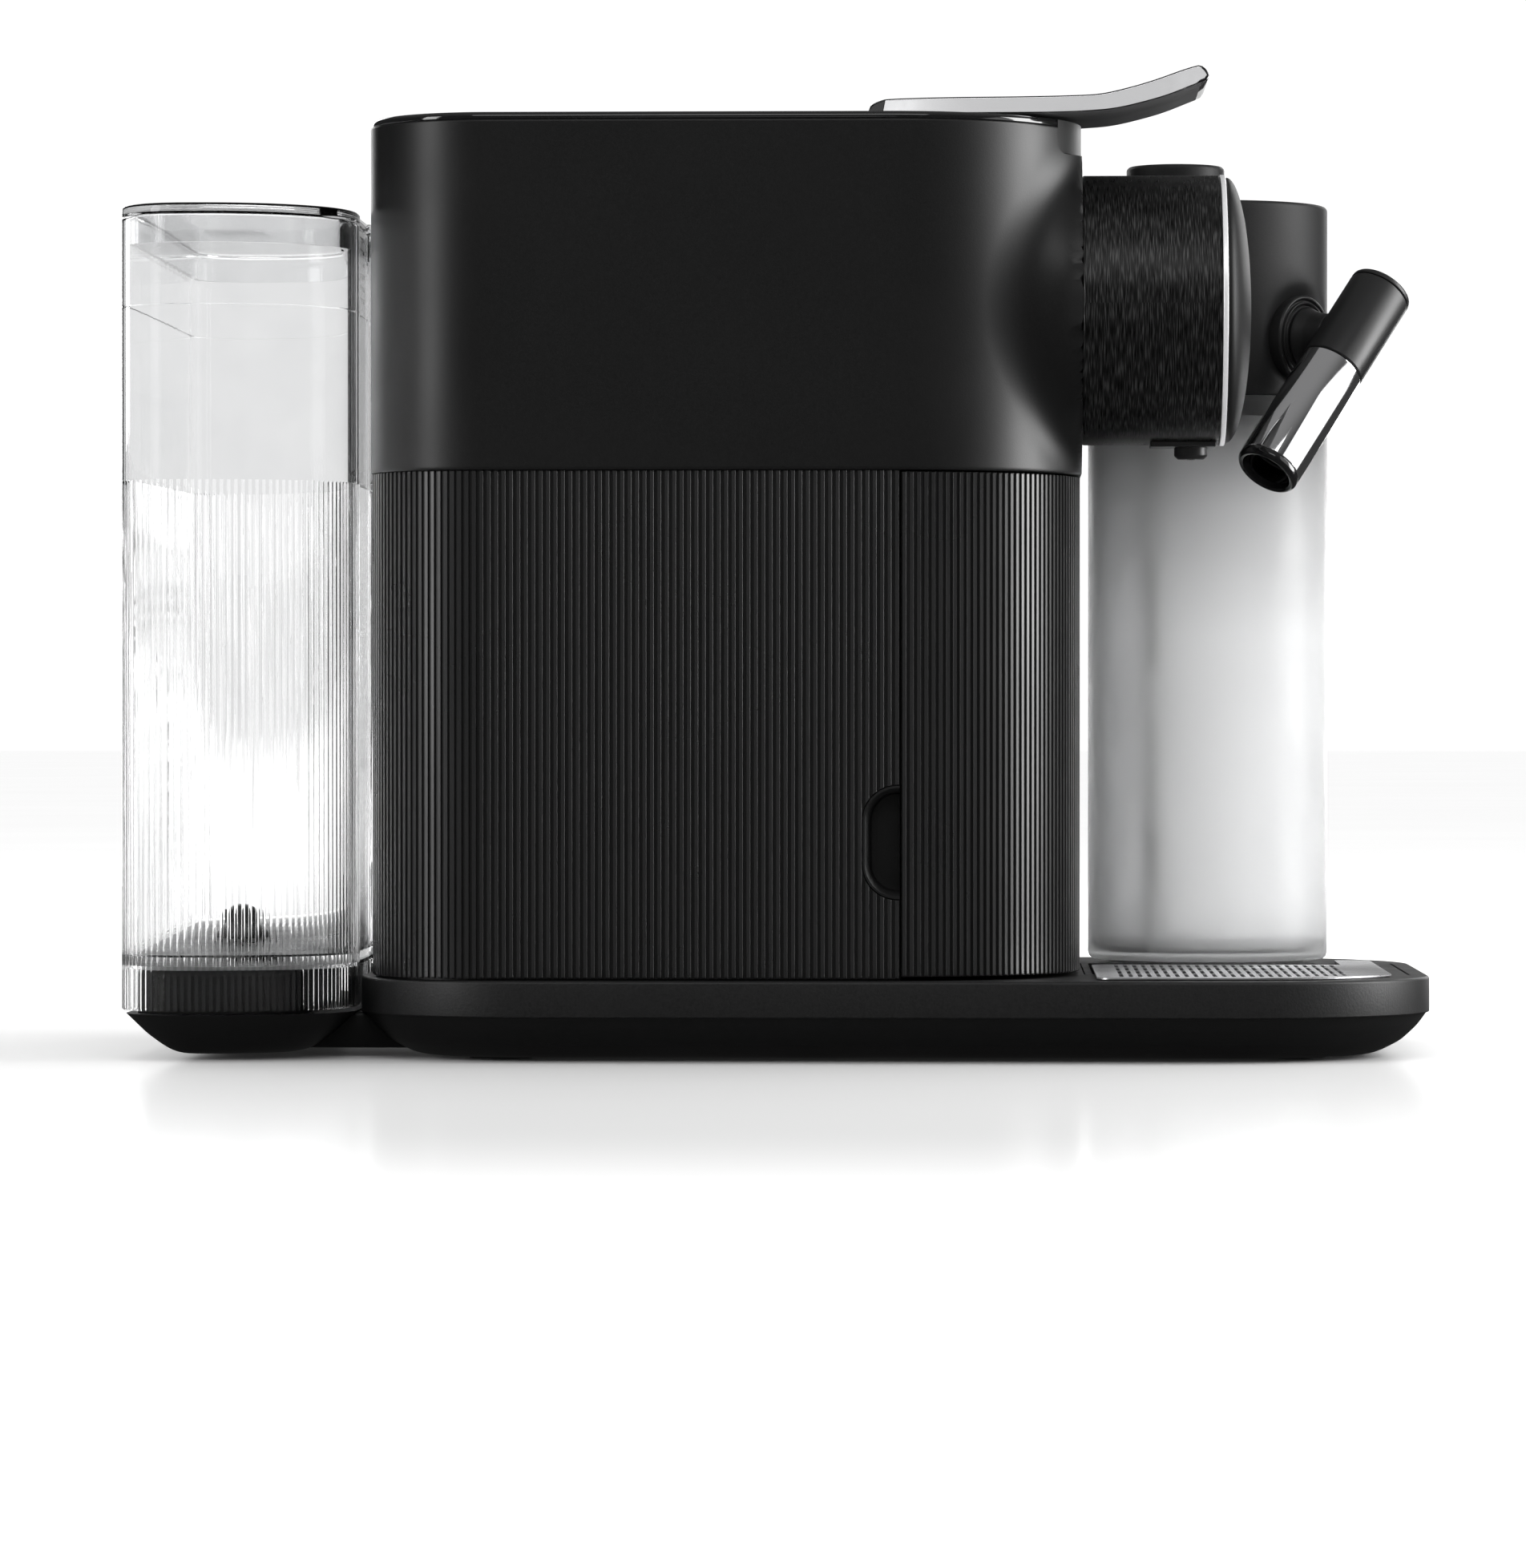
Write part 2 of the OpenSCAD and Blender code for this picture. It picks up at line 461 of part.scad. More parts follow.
// ---------- water tank ----------
module tank_body() {
  color([0.85, 0.87, 0.88, 0.5]) difference() {
    prism(tank_plan(), 14, tank_rim_z);
    prism(tank_plan(tank_wall), 29, tank_rim_z + 1);
    prism(tank_plan(tank_wall), 13, 26.4);
    translate([-158, 0, 20]) cylinder(r = 5.05, h = 12);
  }
}
module tank_valve() {
  color([0.08, 0.08, 0.08]) translate([-158, 0, 0]) difference() {
    union() {
      translate([0, 0, 29]) rotate_extrude() polygon([[0, 0], [7.9, 0], [7.8, 1.6], [5.2, 3.9], [4.7, 4.5], [4.5, 7.6], [3, 9.4], [0, 9.9]]);
      translate([0, 0, 21]) cylinder(r = 5, h = 8);
      translate([0, 0, 21]) cylinder(r = 7.6, h = 5.4);
    }
    translate([0, 0, 20]) cylinder(r = 3.6, h = 14.5);
    for (a = [0:60:300]) rotate([0, 0, a]) translate([3, -0.8, 33]) cube([4, 1.6, 3]);
  }
}
module tank_valve_spring() { color([0.7, 0.7, 0.7]) translate([-158, 0, 22]) sweep(helix(2.9, 1.6, 6), 0.4, 6, [0, 0, 1]); }
module tank_lid() {
  color([0.75, 0.77, 0.78, 0.7]) {
    difference() {
      prism(tank_plan(), tank_rim_z + 0.4, 238.4);
      prism(tank_plan(3), 237.6, 240);
    }
    difference() {
      prism(tank_plan(tank_wall + 0.4), 227.6, tank_rim_z + 0.4);
      prism(tank_plan(tank_wall + 2.2), 226, tank_rim_z + 0.4);
    }
    // grip ridge
    box(-168, -150, -14, 14, 237.6, 238.3);
  }
}

// ---------- capsule drawer ----------
module drawer_front() {
  color([0.1, 0.1, 0.105]) intersection() {
    difference() {
      prism(casing(0.4), 24, seam_z - 0.5);
      difference() {
        prism(casing(0.4 + wall), 26.5, seam_z - 3);
        // return flange that the fingers hook behind
        box(finger[1] + 0.3, finger[1] + 2.8, -98, -91.2, 26, 162);
      }
    }
    box(finger[1] + 0.3, 100, -110, 11.7, 20, 170);
  }
}
module bin_plan(i) { intersection() { polygon(casing(0.4 + wall + i)); translate([-18 + i, -87 + i]) square([120, 97.5 - 2 * i]); } }
module capsule_bin() {
  color([0.12, 0.12, 0.12]) difference() {
    translate([0, 0, 26.5]) linear_extrude(height = 91.5) bin_plan(0);
    translate([0, 0, 28.5]) linear_extrude(height = 100) bin_plan(2);
  }
}

// ---------- drip tray ----------
module drip_pan() {
  color([0.1, 0.1, 0.1]) {
    difference() {
      union() {
        intersection() { box(86.4, 190, -45, 45, deck_z0 + 1.6, 22.8); prism(deck(), 0, 40); }
        intersection() { box(178.4, 190, -45, 45, deck_z0 + 0.4, 22.8); prism(deck(), 0, 40); }
      }
      box(88.4, 170, -43, 43, deck_z0 + 3.2, 30);
    }
  }
}
module grid_plan(i = 0) {
  difference() {
    intersection() {
      polygon(deck(9 + i));
      union() { translate([89 + i, -92 + i]) square([83 - 2 * i, 107 - 2 * i]); translate([161.5 + i, -92 + i]) square([10.5 - 2 * i, 144 - 2 * i]); }
    }
  }
}
module drip_grid() {
  color([0.72, 0.72, 0.73]) {
    difference() {
      translate([0, 0, 23.1]) linear_extrude(height = 0.5) grid_plan();
      for (i = [0:8], j = [0:5]) box(97 + i * 7, 99.5 + i * 7, -40.5 + j * 9, -34 + j * 9, 20, 30);
    }
    box(92, 168, -3, -1, 22.8, 23.11);
    box(92, 168, -41, -39, 22.8, 23.11);
    for (y = [-42.6, -4]) box(92, 96, y, y + 1.6, 15.9, 23.11);
    box(90, 171, -45, -43, 22.8, 23.11);
    box(170, 171.8, -45, 44, 22.8, 23.11);
  }
}

// ---------- milk jug ----------
module milk_container() {
  color([0.8, 0.82, 0.84, 0.5]) difference() {
    prism(jug(), jug_z0, jug_z1);
    prism(jug(jug_wall), jug_z0 + 2.5, jug_z1 + 1);
  }
}
module milk_head() {
  color([0.22, 0.22, 0.225]) difference() {
    union() {
      prism(jug(), jug_z1 + 0.1, 247);
      prism(jug(jug_wall + 0.4), 184, jug_z1 + 0.1);
    }
    prism(jug(9), 183, 228);
    translate([114.5, 55, 220]) cylinder(r = 5.06, h = 40);
    translate([114.5, 55, 246]) cylinder(r = 15, h = 4);
    // dish and bore of the spout boss
    on_boss(-3.5) cylinder(r1 = 15.5, r2 = 22, h = 8);
    on_boss(-16) cylinder(r = 9, h = 20);
    // bore of the docking nozzle
    along_x(80, 57, 215) cylinder(r = 5.52, h = 24);
    // pill slot in the near side
    translate([0, 0, 241.6]) hull() { for (x = [124, 130]) translate([x, 10, 0]) rotate([-90, 0, 0]) cylinder(r = 1.3, h = 10, $fn = 24); }
    // groove of the gasket
    difference() { prism(jug(0), 185.5, 188.1); prism(jug(jug_wall + 1.9), 185, 189); }
  }
}
module milk_nozzle() { color([0.15, 0.15, 0.15]) along_x(68, 57, 215) ring(5.5, 2.6, 32); }
module milk_suction_tube() { color([0.9, 0.9, 0.9]) translate([108, 57, 28.5]) ring(2.6, 1.8, 199.5); }
module container_gasket() { color([0.55, 0.56, 0.58]) difference() { prism(jug(jug_wall + 0.05), 185.6, 188); prism(jug(jug_wall + 1.9), 185, 189); } }
module boss_ring() { color([0.05, 0.05, 0.05]) on_boss(-9) difference() { union() { cylinder(r = 8.95, h = 6); translate([0, 0, 5.5]) cylinder(r = 13, h = 4.5); } translate([0, 0, -1]) cylinder(r = 7.06, h = 14); } }
module froth_knob() {
  color([0.1, 0.1, 0.1]) translate([114.5, 55, 0]) {
    translate([0, 0, 246.3]) cylinder(r = 14.5, h = 13.1, $fn = 96);
    translate([0, 0, 229]) cylinder(r = 5, h = 18);
  }
}

// ---------- milk spout ----------
module spout_body() {
  color([0.05, 0.05, 0.05]) difference() {
    union() {
      on_spout(-17.3) cylinder(r = spout_r, h = 29.2);
      on_boss(-8) cylinder(r = 7, h = 17);
      on_boss(1.3) cylinder(r1 = 9.5, r2 = 8, h = 8);
    }
    on_spout(-18) cylinder(r = 6.8, h = 36);
    on_boss(-10) cylinder(r = 2.5, h = 20);
  }
}
module spout_cap() { color([0.05, 0.05, 0.05]) on_spout(-19.8) { cylinder(r = spout_r - 0.1, h = 2.5); translate([0, 0, 2.4]) cylinder(r = 6.7, h = 3); } }
module spout_inner_tube() { color([0.1, 0.1, 0.1]) on_spout(2) ring(6.78, 5.6, 43); }
module spout_sleeve() { color([0.85, 0.85, 0.86]) on_spout(12.2) ring(spout_r, 7.3, 38.5); }
module spout_lip() { color([0.04, 0.04, 0.04]) on_spout(50.7) ring(spout_r, 7.3, 2.5); }

base_hull();
base_deck();
rubber_feet();
hull_screws();
tank_plinth();
tank_dock_seal();
tank_dock_pipe();
lower_shell();
upper_shell();
tank_stop();
rear_panel();
top_cover();
touch_panel();
slot_frame();
cord_gland();
brew_barrel();
barrel_ring();
barrel_face();
coffee_outlet();
milk_dock();
milk_dock_seal();
brew_frame();
brew_plate();
thermoblock();
thermoblock_straps();
water_pump();
pump_mounts();
flow_meter();
control_board();
board_posts();
water_hoses();
steam_hose();
lever_frame();
lever_top();
lever_underside();
lever_end_cap();
lever_pin();
brew_piston();
piston_seal();
tank_body();
tank_valve();
tank_valve_spring();
tank_lid();
drawer_front();
capsule_bin();
drip_pan();
drip_grid();
milk_container();
milk_head();
milk_nozzle();
milk_suction_tube();
container_gasket();
boss_ring();
froth_knob();
spout_body();
spout_cap();
spout_inner_tube();
spout_sleeve();
spout_lip();
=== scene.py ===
import bpy, bmesh, json, math
import numpy as np
from mathutils import Vector, Matrix

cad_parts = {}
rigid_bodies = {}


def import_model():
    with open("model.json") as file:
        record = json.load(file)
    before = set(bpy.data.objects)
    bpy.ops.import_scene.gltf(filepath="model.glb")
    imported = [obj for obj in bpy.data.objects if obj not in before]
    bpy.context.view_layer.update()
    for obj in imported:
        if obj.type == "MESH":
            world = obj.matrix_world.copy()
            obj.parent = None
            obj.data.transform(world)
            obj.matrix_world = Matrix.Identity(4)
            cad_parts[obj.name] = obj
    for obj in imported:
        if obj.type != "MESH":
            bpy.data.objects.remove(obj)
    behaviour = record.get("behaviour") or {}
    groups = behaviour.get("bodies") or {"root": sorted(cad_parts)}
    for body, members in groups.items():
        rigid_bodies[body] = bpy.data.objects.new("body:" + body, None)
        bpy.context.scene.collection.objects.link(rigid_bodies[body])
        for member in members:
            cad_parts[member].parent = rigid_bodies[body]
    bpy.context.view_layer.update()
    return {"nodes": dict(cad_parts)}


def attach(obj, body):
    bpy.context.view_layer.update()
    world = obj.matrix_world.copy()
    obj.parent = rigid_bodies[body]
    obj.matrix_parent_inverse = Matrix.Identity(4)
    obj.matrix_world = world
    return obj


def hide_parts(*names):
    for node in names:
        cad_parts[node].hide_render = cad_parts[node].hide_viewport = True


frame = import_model()
NODES = frame["nodes"]
MM = 0.001
scene = bpy.context.scene
scene.view_settings.view_transform = "Standard"
scene.view_settings.look = "None"

# --------------------------------------------------------------------------
# camera, at the photograph's viewing angle (image 1904 x 1957)
# --------------------------------------------------------------------------
cam_data = bpy.data.cameras.new("cam")
cam = bpy.data.objects.new("cam", cam_data)
scene.collection.objects.link(cam)
scene.camera = cam
cam_data.lens = 158.3
cam_data.sensor_width = 36.0
cam_data.clip_start = 0.05
cam_data.clip_end = 60
cam_loc = Vector((0.0582, -2.0015, 0.0946))
cam_at = Vector((-0.0032, -0.1015, 0.0773))
cam.location = cam_loc
cam.rotation_euler = (cam_at - cam_loc).to_track_quat("-Z", "Y").to_euler()

# --------------------------------------------------------------------------
# dimensions shared with the CAD (millimetres)
# --------------------------------------------------------------------------
BX0, BX1, BY = -114.7, 85.2, 98.5
RR_, RF = 35.0, 55.0
SEAM = 164.0
COVER = 263.1
HEAD_Y, BARREL_Z, BARREL_R = -49.5, 210.6, 38.0
OX0, OX1, HW = -183.5, 183.5, 101.5
DECK_X0, DECK_Z0, DECK_Z1 = -118.5, 12.7, 22.8
TX1, TY = -119.0, 97.0
JX0, JX1, JY0, JY1, JR = 88.7, 159.4, 17.0, 97.0, 35.0
LY0, LY1 = HEAD_Y - 28, HEAD_Y + 28
B0 = np.array([151.6, 30.0, 206.7])
S0 = np.array([164.8, 19.3, 206.7])
BDIR = np.array([math.cos(math.radians(-39)), math.sin(math.radians(-39)), 0.0])
ADIR = np.array([-0.487, -0.434, -0.758]); ADIR = ADIR / np.linalg.norm(ADIR)


# --------------------------------------------------------------------------
# mesh helpers
# --------------------------------------------------------------------------
def make(name, verts, faces, mat, body, smooth=35, replaces=(), slot=None, mats=None, fmat=None):
    """A mesh object from millimetre vertices, riding on a body."""
    me = bpy.data.meshes.new(name)
    me.from_pydata([tuple(float(c) * MM for c in v) for v in verts], [], [tuple(int(i) for i in f) for f in faces])
    me.validate()
    ob = bpy.data.objects.new(name, me)
    scene.collection.objects.link(ob)
    bm = bmesh.new(); bm.from_mesh(me)
    bmesh.ops.recalc_face_normals(bm, faces=bm.faces)
    bm.to_mesh(me); bm.free()
    if mats:
        for m in mats:
            me.materials.append(m)
        if fmat is not None and len(fmat) == len(me.polygons):
            me.polygons.foreach_set("material_index", np.array(fmat, np.int32))
    else:
        me.materials.append(mat)
    shade(ob, smooth)
    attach(ob, body)
    if replaces:
        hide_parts(*replaces)
    return ob


def shade(ob, angle=35):
    me = ob.data
    for p in me.polygons:
        p.use_smooth = True
    me.set_sharp_from_angle(angle=math.radians(angle))


def bake_mods(ob, smooth=None):
    """Applies every modifier on ob."""
    dg = bpy.context.evaluated_depsgraph_get()
    dg.update()
    me = bpy.data.meshes.new_from_object(ob.evaluated_get(dg))
    old = ob.data
    ob.modifiers.clear()
    ob.data = me
    bpy.data.meshes.remove(old)
    if smooth is not None:
        shade(ob, smooth)
    return ob


def bevel(ob, width, segments=3, angle=35, smooth=35):
    m = ob.modifiers.new("bevel", "BEVEL")
    m.width = width * MM
    m.segments = segments
    m.limit_method = "ANGLE"
    m.angle_limit = math.radians(angle)
    m.harden_normals = False
    m.miter_outer = "MITER_ARC"
    return bake_mods(ob, smooth)


def cut(ob, cutters, op="DIFFERENCE", smooth=35, keep=False):
    """Boolean of ob with the cutters, which are then removed."""
    for c in cutters:
        m = ob.modifiers.new("cut", "BOOLEAN")
        m.operation = op
        m.solver = "EXACT"
        m.object = c
    bake_mods(ob, smooth)
    if not keep:
        for c in cutters:
            bpy.data.objects.remove(c)
    return ob


def tool(name, verts, faces):
    """A cutter: a bare mesh object with no material and no body."""
    me = bpy.data.meshes.new(name)
    me.from_pydata([tuple(float(c) * MM for c in v) for v in verts], [], [tuple(int(i) for i in f) for f in faces])
    ob = bpy.data.objects.new(name, me)
    scene.collection.objects.link(ob)
    bm = bmesh.new(); bm.from_mesh(me)
    bmesh.ops.recalc_face_normals(bm, faces=bm.faces)
    bm.to_mesh(me); bm.free()
    return ob


def box_vf(x0, x1, y0, y1, z0, z1):
    v = [(x, y, z) for z in (z0, z1) for y in (y0, y1) for x in (x0, x1)]
    f = [(0, 2, 3, 1), (4, 5, 7, 6), (0, 1, 5, 4), (2, 6, 7, 3), (0, 4, 6, 2), (1, 3, 7, 5)]
    return v, f


def loft_vf(rings, cap0=True, cap1=True, closed=False):
    """Quads between rings of equal length; closed joins the last ring to the first."""
    m, n = len(rings), len(rings[0])
    v = np.concatenate([np.asarray(r, float) for r in rings])
    f = []
    for i in range(m if closed else m - 1):
        a, b = i * n, ((i + 1) % m) * n
        for j in range(n):
            k = (j + 1) % n
            f.append((a + j, a + k, b + k, b + j))
    if not closed:
        if cap0:
            f.append(tuple(range(n - 1, -1, -1)))
        if cap1:
            f.append(tuple((m - 1) * n + j for j in range(n)))
    return v, f


def ring_z(p2, z):
    p2 = np.asarray(p2, float)
    return np.column_stack([p2, np.full(len(p2), float(z))])


class Outline:
    """A rounded rectangle that can be sampled by its perimeter, anticlockwise from the near side."""
    def __init__(s, x0, y0, x1, y1, rr, rf):
        s.seg = []
        L = 0.0
        def line(ax, ay, bx, by, nx, ny):
            nonlocal L
            l = math.hypot(bx - ax, by - ay)
            if l > 1e-9:
                s.seg.append(("l", L, l, ax, ay, (bx - ax) / l, (by - ay) / l, nx, ny)); L += l
        def arc(cx, cy, r, a0):
            nonlocal L
            l = r * math.pi / 2
            s.seg.append(("a", L, l, cx, cy, r, math.radians(a0), 0, 0)); L += l
        line(x0 + rr, y0, x1 - rf, y0, 0, -1)
        arc(x1 - rf, y0 + rf, rf, -90)
        line(x1, y0 + rf, x1, y1 - rf, 1, 0)
        arc(x1 - rf, y1 - rf, rf, 0)
        line(x1 - rf, y1, x0 + rr, y1, 0, 1)
        arc(x0 + rr, y1 - rr, rr, 90)
        line(x0, y1 - rr, x0, y0 + rr, -1, 0)
        arc(x0 + rr, y0 + rr, rr, 180)
        s.L = L
    def at(s, t):
        t = np.mod(np.asarray(t, float), s.L)
        P = np.zeros((len(t), 2)); N = np.zeros((len(t), 2))
        for q in s.seg:
            m = (t >= q[1] - 1e-12) & (t < q[1] + q[2] + 1e-12)
            u = t[m] - q[1]
            if q[0] == "l":
                P[m] = np.column_stack([q[3] + q[5] * u, q[4] + q[6] * u]); N[m] = (q[7], q[8])
            else:
                a = q[6] + u / q[5]
                N[m] = np.column_stack([np.cos(a), np.sin(a)])
                P[m] = np.column_stack([q[3] + q[5] * np.cos(a), q[4] + q[5] * np.sin(a)])
        return P, N
    def samples(s, step_line=6.0, step_arc=2.0):
        """Perimeter stations: even on lines, closer on the arcs."""
        t = []
        for q in s.seg:
            n = max(1, int(math.ceil(q[2] / (step_line if q[0] == "l" else step_arc))))
            t += [q[1] + q[2] * i / n for i in range(n)]
        return np.array(t)


def rr(x0, y0, x1, y1, r0, r1=None, step_line=8.0, step_arc=1.6):
    o = Outline(x0, y0, x1, y1, r0, r0 if r1 is None else r1)
    return o.at(o.samples(step_line, step_arc))


def prism_tool(name, pts, z0, z1):
    v, f = loft_vf([ring_z(pts, z0), ring_z(pts, z1)])
    return tool(name, v, f)


def box_tool(name, *a):
    return tool(name, *box_vf(*a))


def plate(name, P, N, z0, z1, r, mat, body, r_low=0.0, seg=5, inner=None, smooth=40, **k):
    """A solid plate of outline P with normals N, its top edge rounded by r and its lower edge by r_low."""
    rings = []
    if r_low > 0:
        for i in range(seg + 1):
            a = math.pi / 2 * i / seg
            rings.append(ring_z(P - N * r_low * (1 - math.sin(a)), z0 + r_low * (1 - math.cos(a))))
    else:
        rings.append(ring_z(P, z0))
    if r > 0:
        for i in range(seg + 1):
            a = math.pi / 2 * i / seg
            rings.append(ring_z(P - N * r * (1 - math.cos(a)), z1 - r * (1 - math.sin(a))))
    else:
        rings.append(ring_z(P, z1))
    v, f = loft_vf(rings)
    return make(name, v, f, mat, body, smooth=smooth, **k)


def lathe_vf(profile, n=128, closed=False):
    """profile: (along, radius) pairs round the +Z axis; a radius of 0 closes to a point."""
    v, f = [], []
    rows = []
    for (h, r) in profile:
        if r <= 1e-6:
            rows.append([len(v)]); v.append((0, 0, h))
        else:
            rows.append(list(range(len(v), len(v) + n)))
            v += [(r * math.cos(2 * math.pi * j / n), r * math.sin(2 * math.pi * j / n), h) for j in range(n)]
    pairs = list(zip(rows[:-1], rows[1:])) + ([(rows[-1], rows[0])] if closed else [])
    for a, b in pairs:
        if len(a) == 1 and len(b) == 1:
            continue
        for j in range(n):
            k = (j + 1) % n
            if len(a) == 1:
                f.append((a[0], b[k], b[j]))
            elif len(b) == 1:
                f.append((a[j], a[k], b[0]))
            else:
                f.append((a[j], a[k], b[k], b[j]))
    return np.array(v), f


def axis_frame(origin, d):
    """Matrix that takes +Z to d at origin."""
    d = np.asarray(d, float) / np.linalg.norm(d)
    u = np.cross([0.0, 0.0, 1.0], d)
    if np.linalg.norm(u) < 1e-6:
        u = np.array([1.0, 0, 0])
    u /= np.linalg.norm(u)
    w = np.cross(d, u)
    return np.array(origin, float), np.column_stack([u, w, d])


def place(v, fr):
    return fr[0] + np.asarray(v, float) @ fr[1].T


def lathe(name, profile, origin, d, mat, body, n=128, closed=False, smooth=35, **k):
    v, f = lathe_vf(profile, n, closed)
    return make(name, place(v, axis_frame(origin, d)), f, mat, body, smooth=smooth, **k)


def fillet_profile(pts, r, seg=4):
    """Rounds the inner corners of an open polyline of (along, radius) points; r is a number or one per point."""
    pts = [np.array(p, float) for p in pts]
    rs = r if hasattr(r, "__len__") else [r] * len(pts)
    out = [tuple(pts[0])]
    for i in range(1, len(pts) - 1):
        a, b, c = pts[i - 1], pts[i], pts[i + 1]
        la, lc = np.linalg.norm(a - b), np.linalg.norm(c - b)
        k = min(rs[i], la * 0.45, lc * 0.45)
        if k <= 1e-4:
            out.append(tuple(b)); continue
        p, q = b + (a - b) / la * k, b + (c - b) / lc * k
        for s in range(seg + 1):
            t = s / seg
            out.append(tuple((1 - t) ** 2 * p + 2 * t * (1 - t) * b + t * t * q))
    out.append(tuple(pts[-1]))
    return out


# --------------------------------------------------------------------------
# materials
# --------------------------------------------------------------------------
def srgb(c):
    c = c / 255.0
    return c / 12.92 if c <= 0.04045 else ((c + 0.055) / 1.055) ** 2.4


def mat(name, color, rough=0.5, metallic=0.0, **kw):
    m = bpy.data.materials.new(name)
    m.use_nodes = True
    b = m.node_tree.nodes["Principled BSDF"]
    col = color if hasattr(color, "__len__") else (color, color, color)
    b.inputs["Base Color"].default_value = (*col[:3], 1)
    b.inputs["Roughness"].default_value = rough
    b.inputs["Metallic"].default_value = metallic
    for k, v in kw.items():
        b.inputs[k.replace("_", " ")].default_value = v
    return m


def nd(m, kind, **kw):
    n = m.node_tree.nodes.new(kind)
    for k, v in kw.items():
        setattr(n, k, v)
    return n


def link(m, a, b):
    m.node_tree.links.new(a, b)


def bsdf(m):
    return m.node_tree.nodes["Principled BSDF"]


def noise(m, scale, detail=3.0, rough=0.5, vec=None, dim="3D"):
    n = nd(m, "ShaderNodeTexNoise")
    n.noise_dimensions = dim
    n.inputs["Scale"].default_value = scale
    n.inputs["Detail"].default_value = detail
    n.inputs["Roughness"].default_value = rough
    if vec is None:
        tc = nd(m, "ShaderNodeTexCoord")
        vec = tc.outputs["Object"]
    link(m, vec, n.inputs["Vector"])
    return n.outputs["Fac"]


def ramp(m, fac, stops):
    r = nd(m, "ShaderNodeValToRGB")
    el = r.color_ramp.elements
    while len(el) < len(stops):
        el.new(0.5)
    for e, (p, c) in zip(el, stops):
        e.position = p
        c = c if hasattr(c, "__len__") else (c, c, c)
        e.color = (*c[:3], 1)
    link(m, fac, r.inputs["Fac"])
    return r.outputs["Color"]


def maprange(m, fac, lo, hi, a=0.0, b=1.0):
    r = nd(m, "ShaderNodeMapRange")
    r.inputs["From Min"].default_value = a
    r.inputs["From Max"].default_value = b
    r.inputs["To Min"].default_value = lo
    r.inputs["To Max"].default_value = hi
    link(m, fac, r.inputs["Value"])
    return r.outputs["Result"]


def bump(m, height, strength, dist, normal=None):
    b = nd(m, "ShaderNodeBump")
    b.inputs["Strength"].default_value = strength
    b.inputs["Distance"].default_value = dist
    link(m, height, b.inputs["Height"])
    if normal is not None:
        link(m, normal, b.inputs["Normal"])
    return b.outputs["Normal"]


def grain(m, color, var=0.25, scale=2600, bump_s=0.25, bump_d=0.00006, rough=(0.36, 0.48), broad=True):
    """Fine moulded or painted grain: colour flecks, roughness variation and a fine bump."""
    n1 = noise(m, scale, 2.0, 0.6)
    c = color if hasattr(color, "__len__") else (color, color, color)
    lo = tuple(x * (1 - var) for x in c)
    hi = tuple(x * (1 + var) for x in c)
    link(m, ramp(m, n1, [(0.30, lo), (0.70, hi)]), bsdf(m).inputs["Base Color"])
    n2 = noise(m, 22, 3.0, 0.55) if broad else n1
    link(m, maprange(m, n2, rough[0], rough[1], 0.3, 0.7), bsdf(m).inputs["Roughness"])
    link(m, bump(m, n1, bump_s, bump_d), bsdf(m).inputs["Normal"])
    return m


M = {}
M["shell"] = grain(mat("satin_black_casing", 0.0034, 0.42, Specular_IOR_Level=0.42), (0.0034, 0.0034, 0.0035), 0.30, 2300, 0.35, 0.00005, (0.37, 0.43))
M["ribs"] = grain(mat("ribbed_black_casing", 0.010, 0.36), (0.010, 0.010, 0.0102), 0.15, 2600, 0.2, 0.00004, (0.26, 0.31))
# rib grooves: rougher, and darker in colour to paint the shade in the recesses
M["groove"] = grain(mat("rib_groove_painted_shade", 0.003, 0.5), (0.003, 0.003, 0.003), 0.2, 2600, 0.2, 0.00004, (0.48, 0.56))
M["deck"] = grain(mat("textured_black_deck", 0.0065, 0.47, Specular_IOR_Level=0.38), (0.0065, 0.0065, 0.0067), 0.30, 1500, 0.55, 0.00009, (0.44, 0.54))
M["hull"] = grain(mat("matte_black_hull", 0.0036, 0.5, Specular_IOR_Level=0.35), (0.0036, 0.0036, 0.0037), 0.2, 1700, 0.4, 0.00006, (0.45, 0.55))
M["gloss"] = grain(mat("gloss_black", 0.005, 0.08, Coat_Weight=0.3, Coat_Roughness=0.03), (0.005, 0.005, 0.0052), 0.1, 900, 0.03, 0.00001, (0.06, 0.11))
M["insert"] = grain(mat("matte_black_insert", 0.0045, 0.45, Specular_IOR_Level=0.40), (0.0045, 0.0045, 0.0046), 0.25, 1800, 0.35, 0.00006, (0.38, 0.46))
M["head"] = grain(mat("charcoal_satin_head", 0.016, 0.5, Specular_IOR_Level=0.22), (0.008, 0.008, 0.0082), 0.18, 2100, 0.3, 0.00005, (0.48, 0.56))
M["rubber"] = grain(mat("rubber", 0.012, 0.7), (0.012, 0.012, 0.012), 0.3, 900, 0.5, 0.00008, (0.62, 0.78))
M["lever_grey"] = grain(mat("lever_underside_grey", 0.085, 0.5), (0.060, 0.060, 0.061), 0.12, 2200, 0.25, 0.00004, (0.44, 0.54))
M["spout_black"] = grain(mat("spout_black", 0.008, 0.36, Specular_IOR_Level=0.40), (0.008, 0.008, 0.0082), 0.15, 2400, 0.12, 0.00003, (0.33, 0.40))
M["plinth"] = grain(mat("plinth_black", 0.004, 0.6, Specular_IOR_Level=0.06), (0.004, 0.004, 0.0041), 0.2, 1500, 0.2, 0.00005, (0.55, 0.65))
M["white_part"] = grain(mat("natural_plastic", 0.55, 0.45), (0.55, 0.55, 0.53), 0.08, 700, 0.2, 0.00006, (0.4, 0.55))
M["hose"] = grain(mat("silicone_hose", 0.55, 0.4), (0.55, 0.54, 0.48), 0.08, 500, 0.15, 0.00005, (0.35, 0.5))
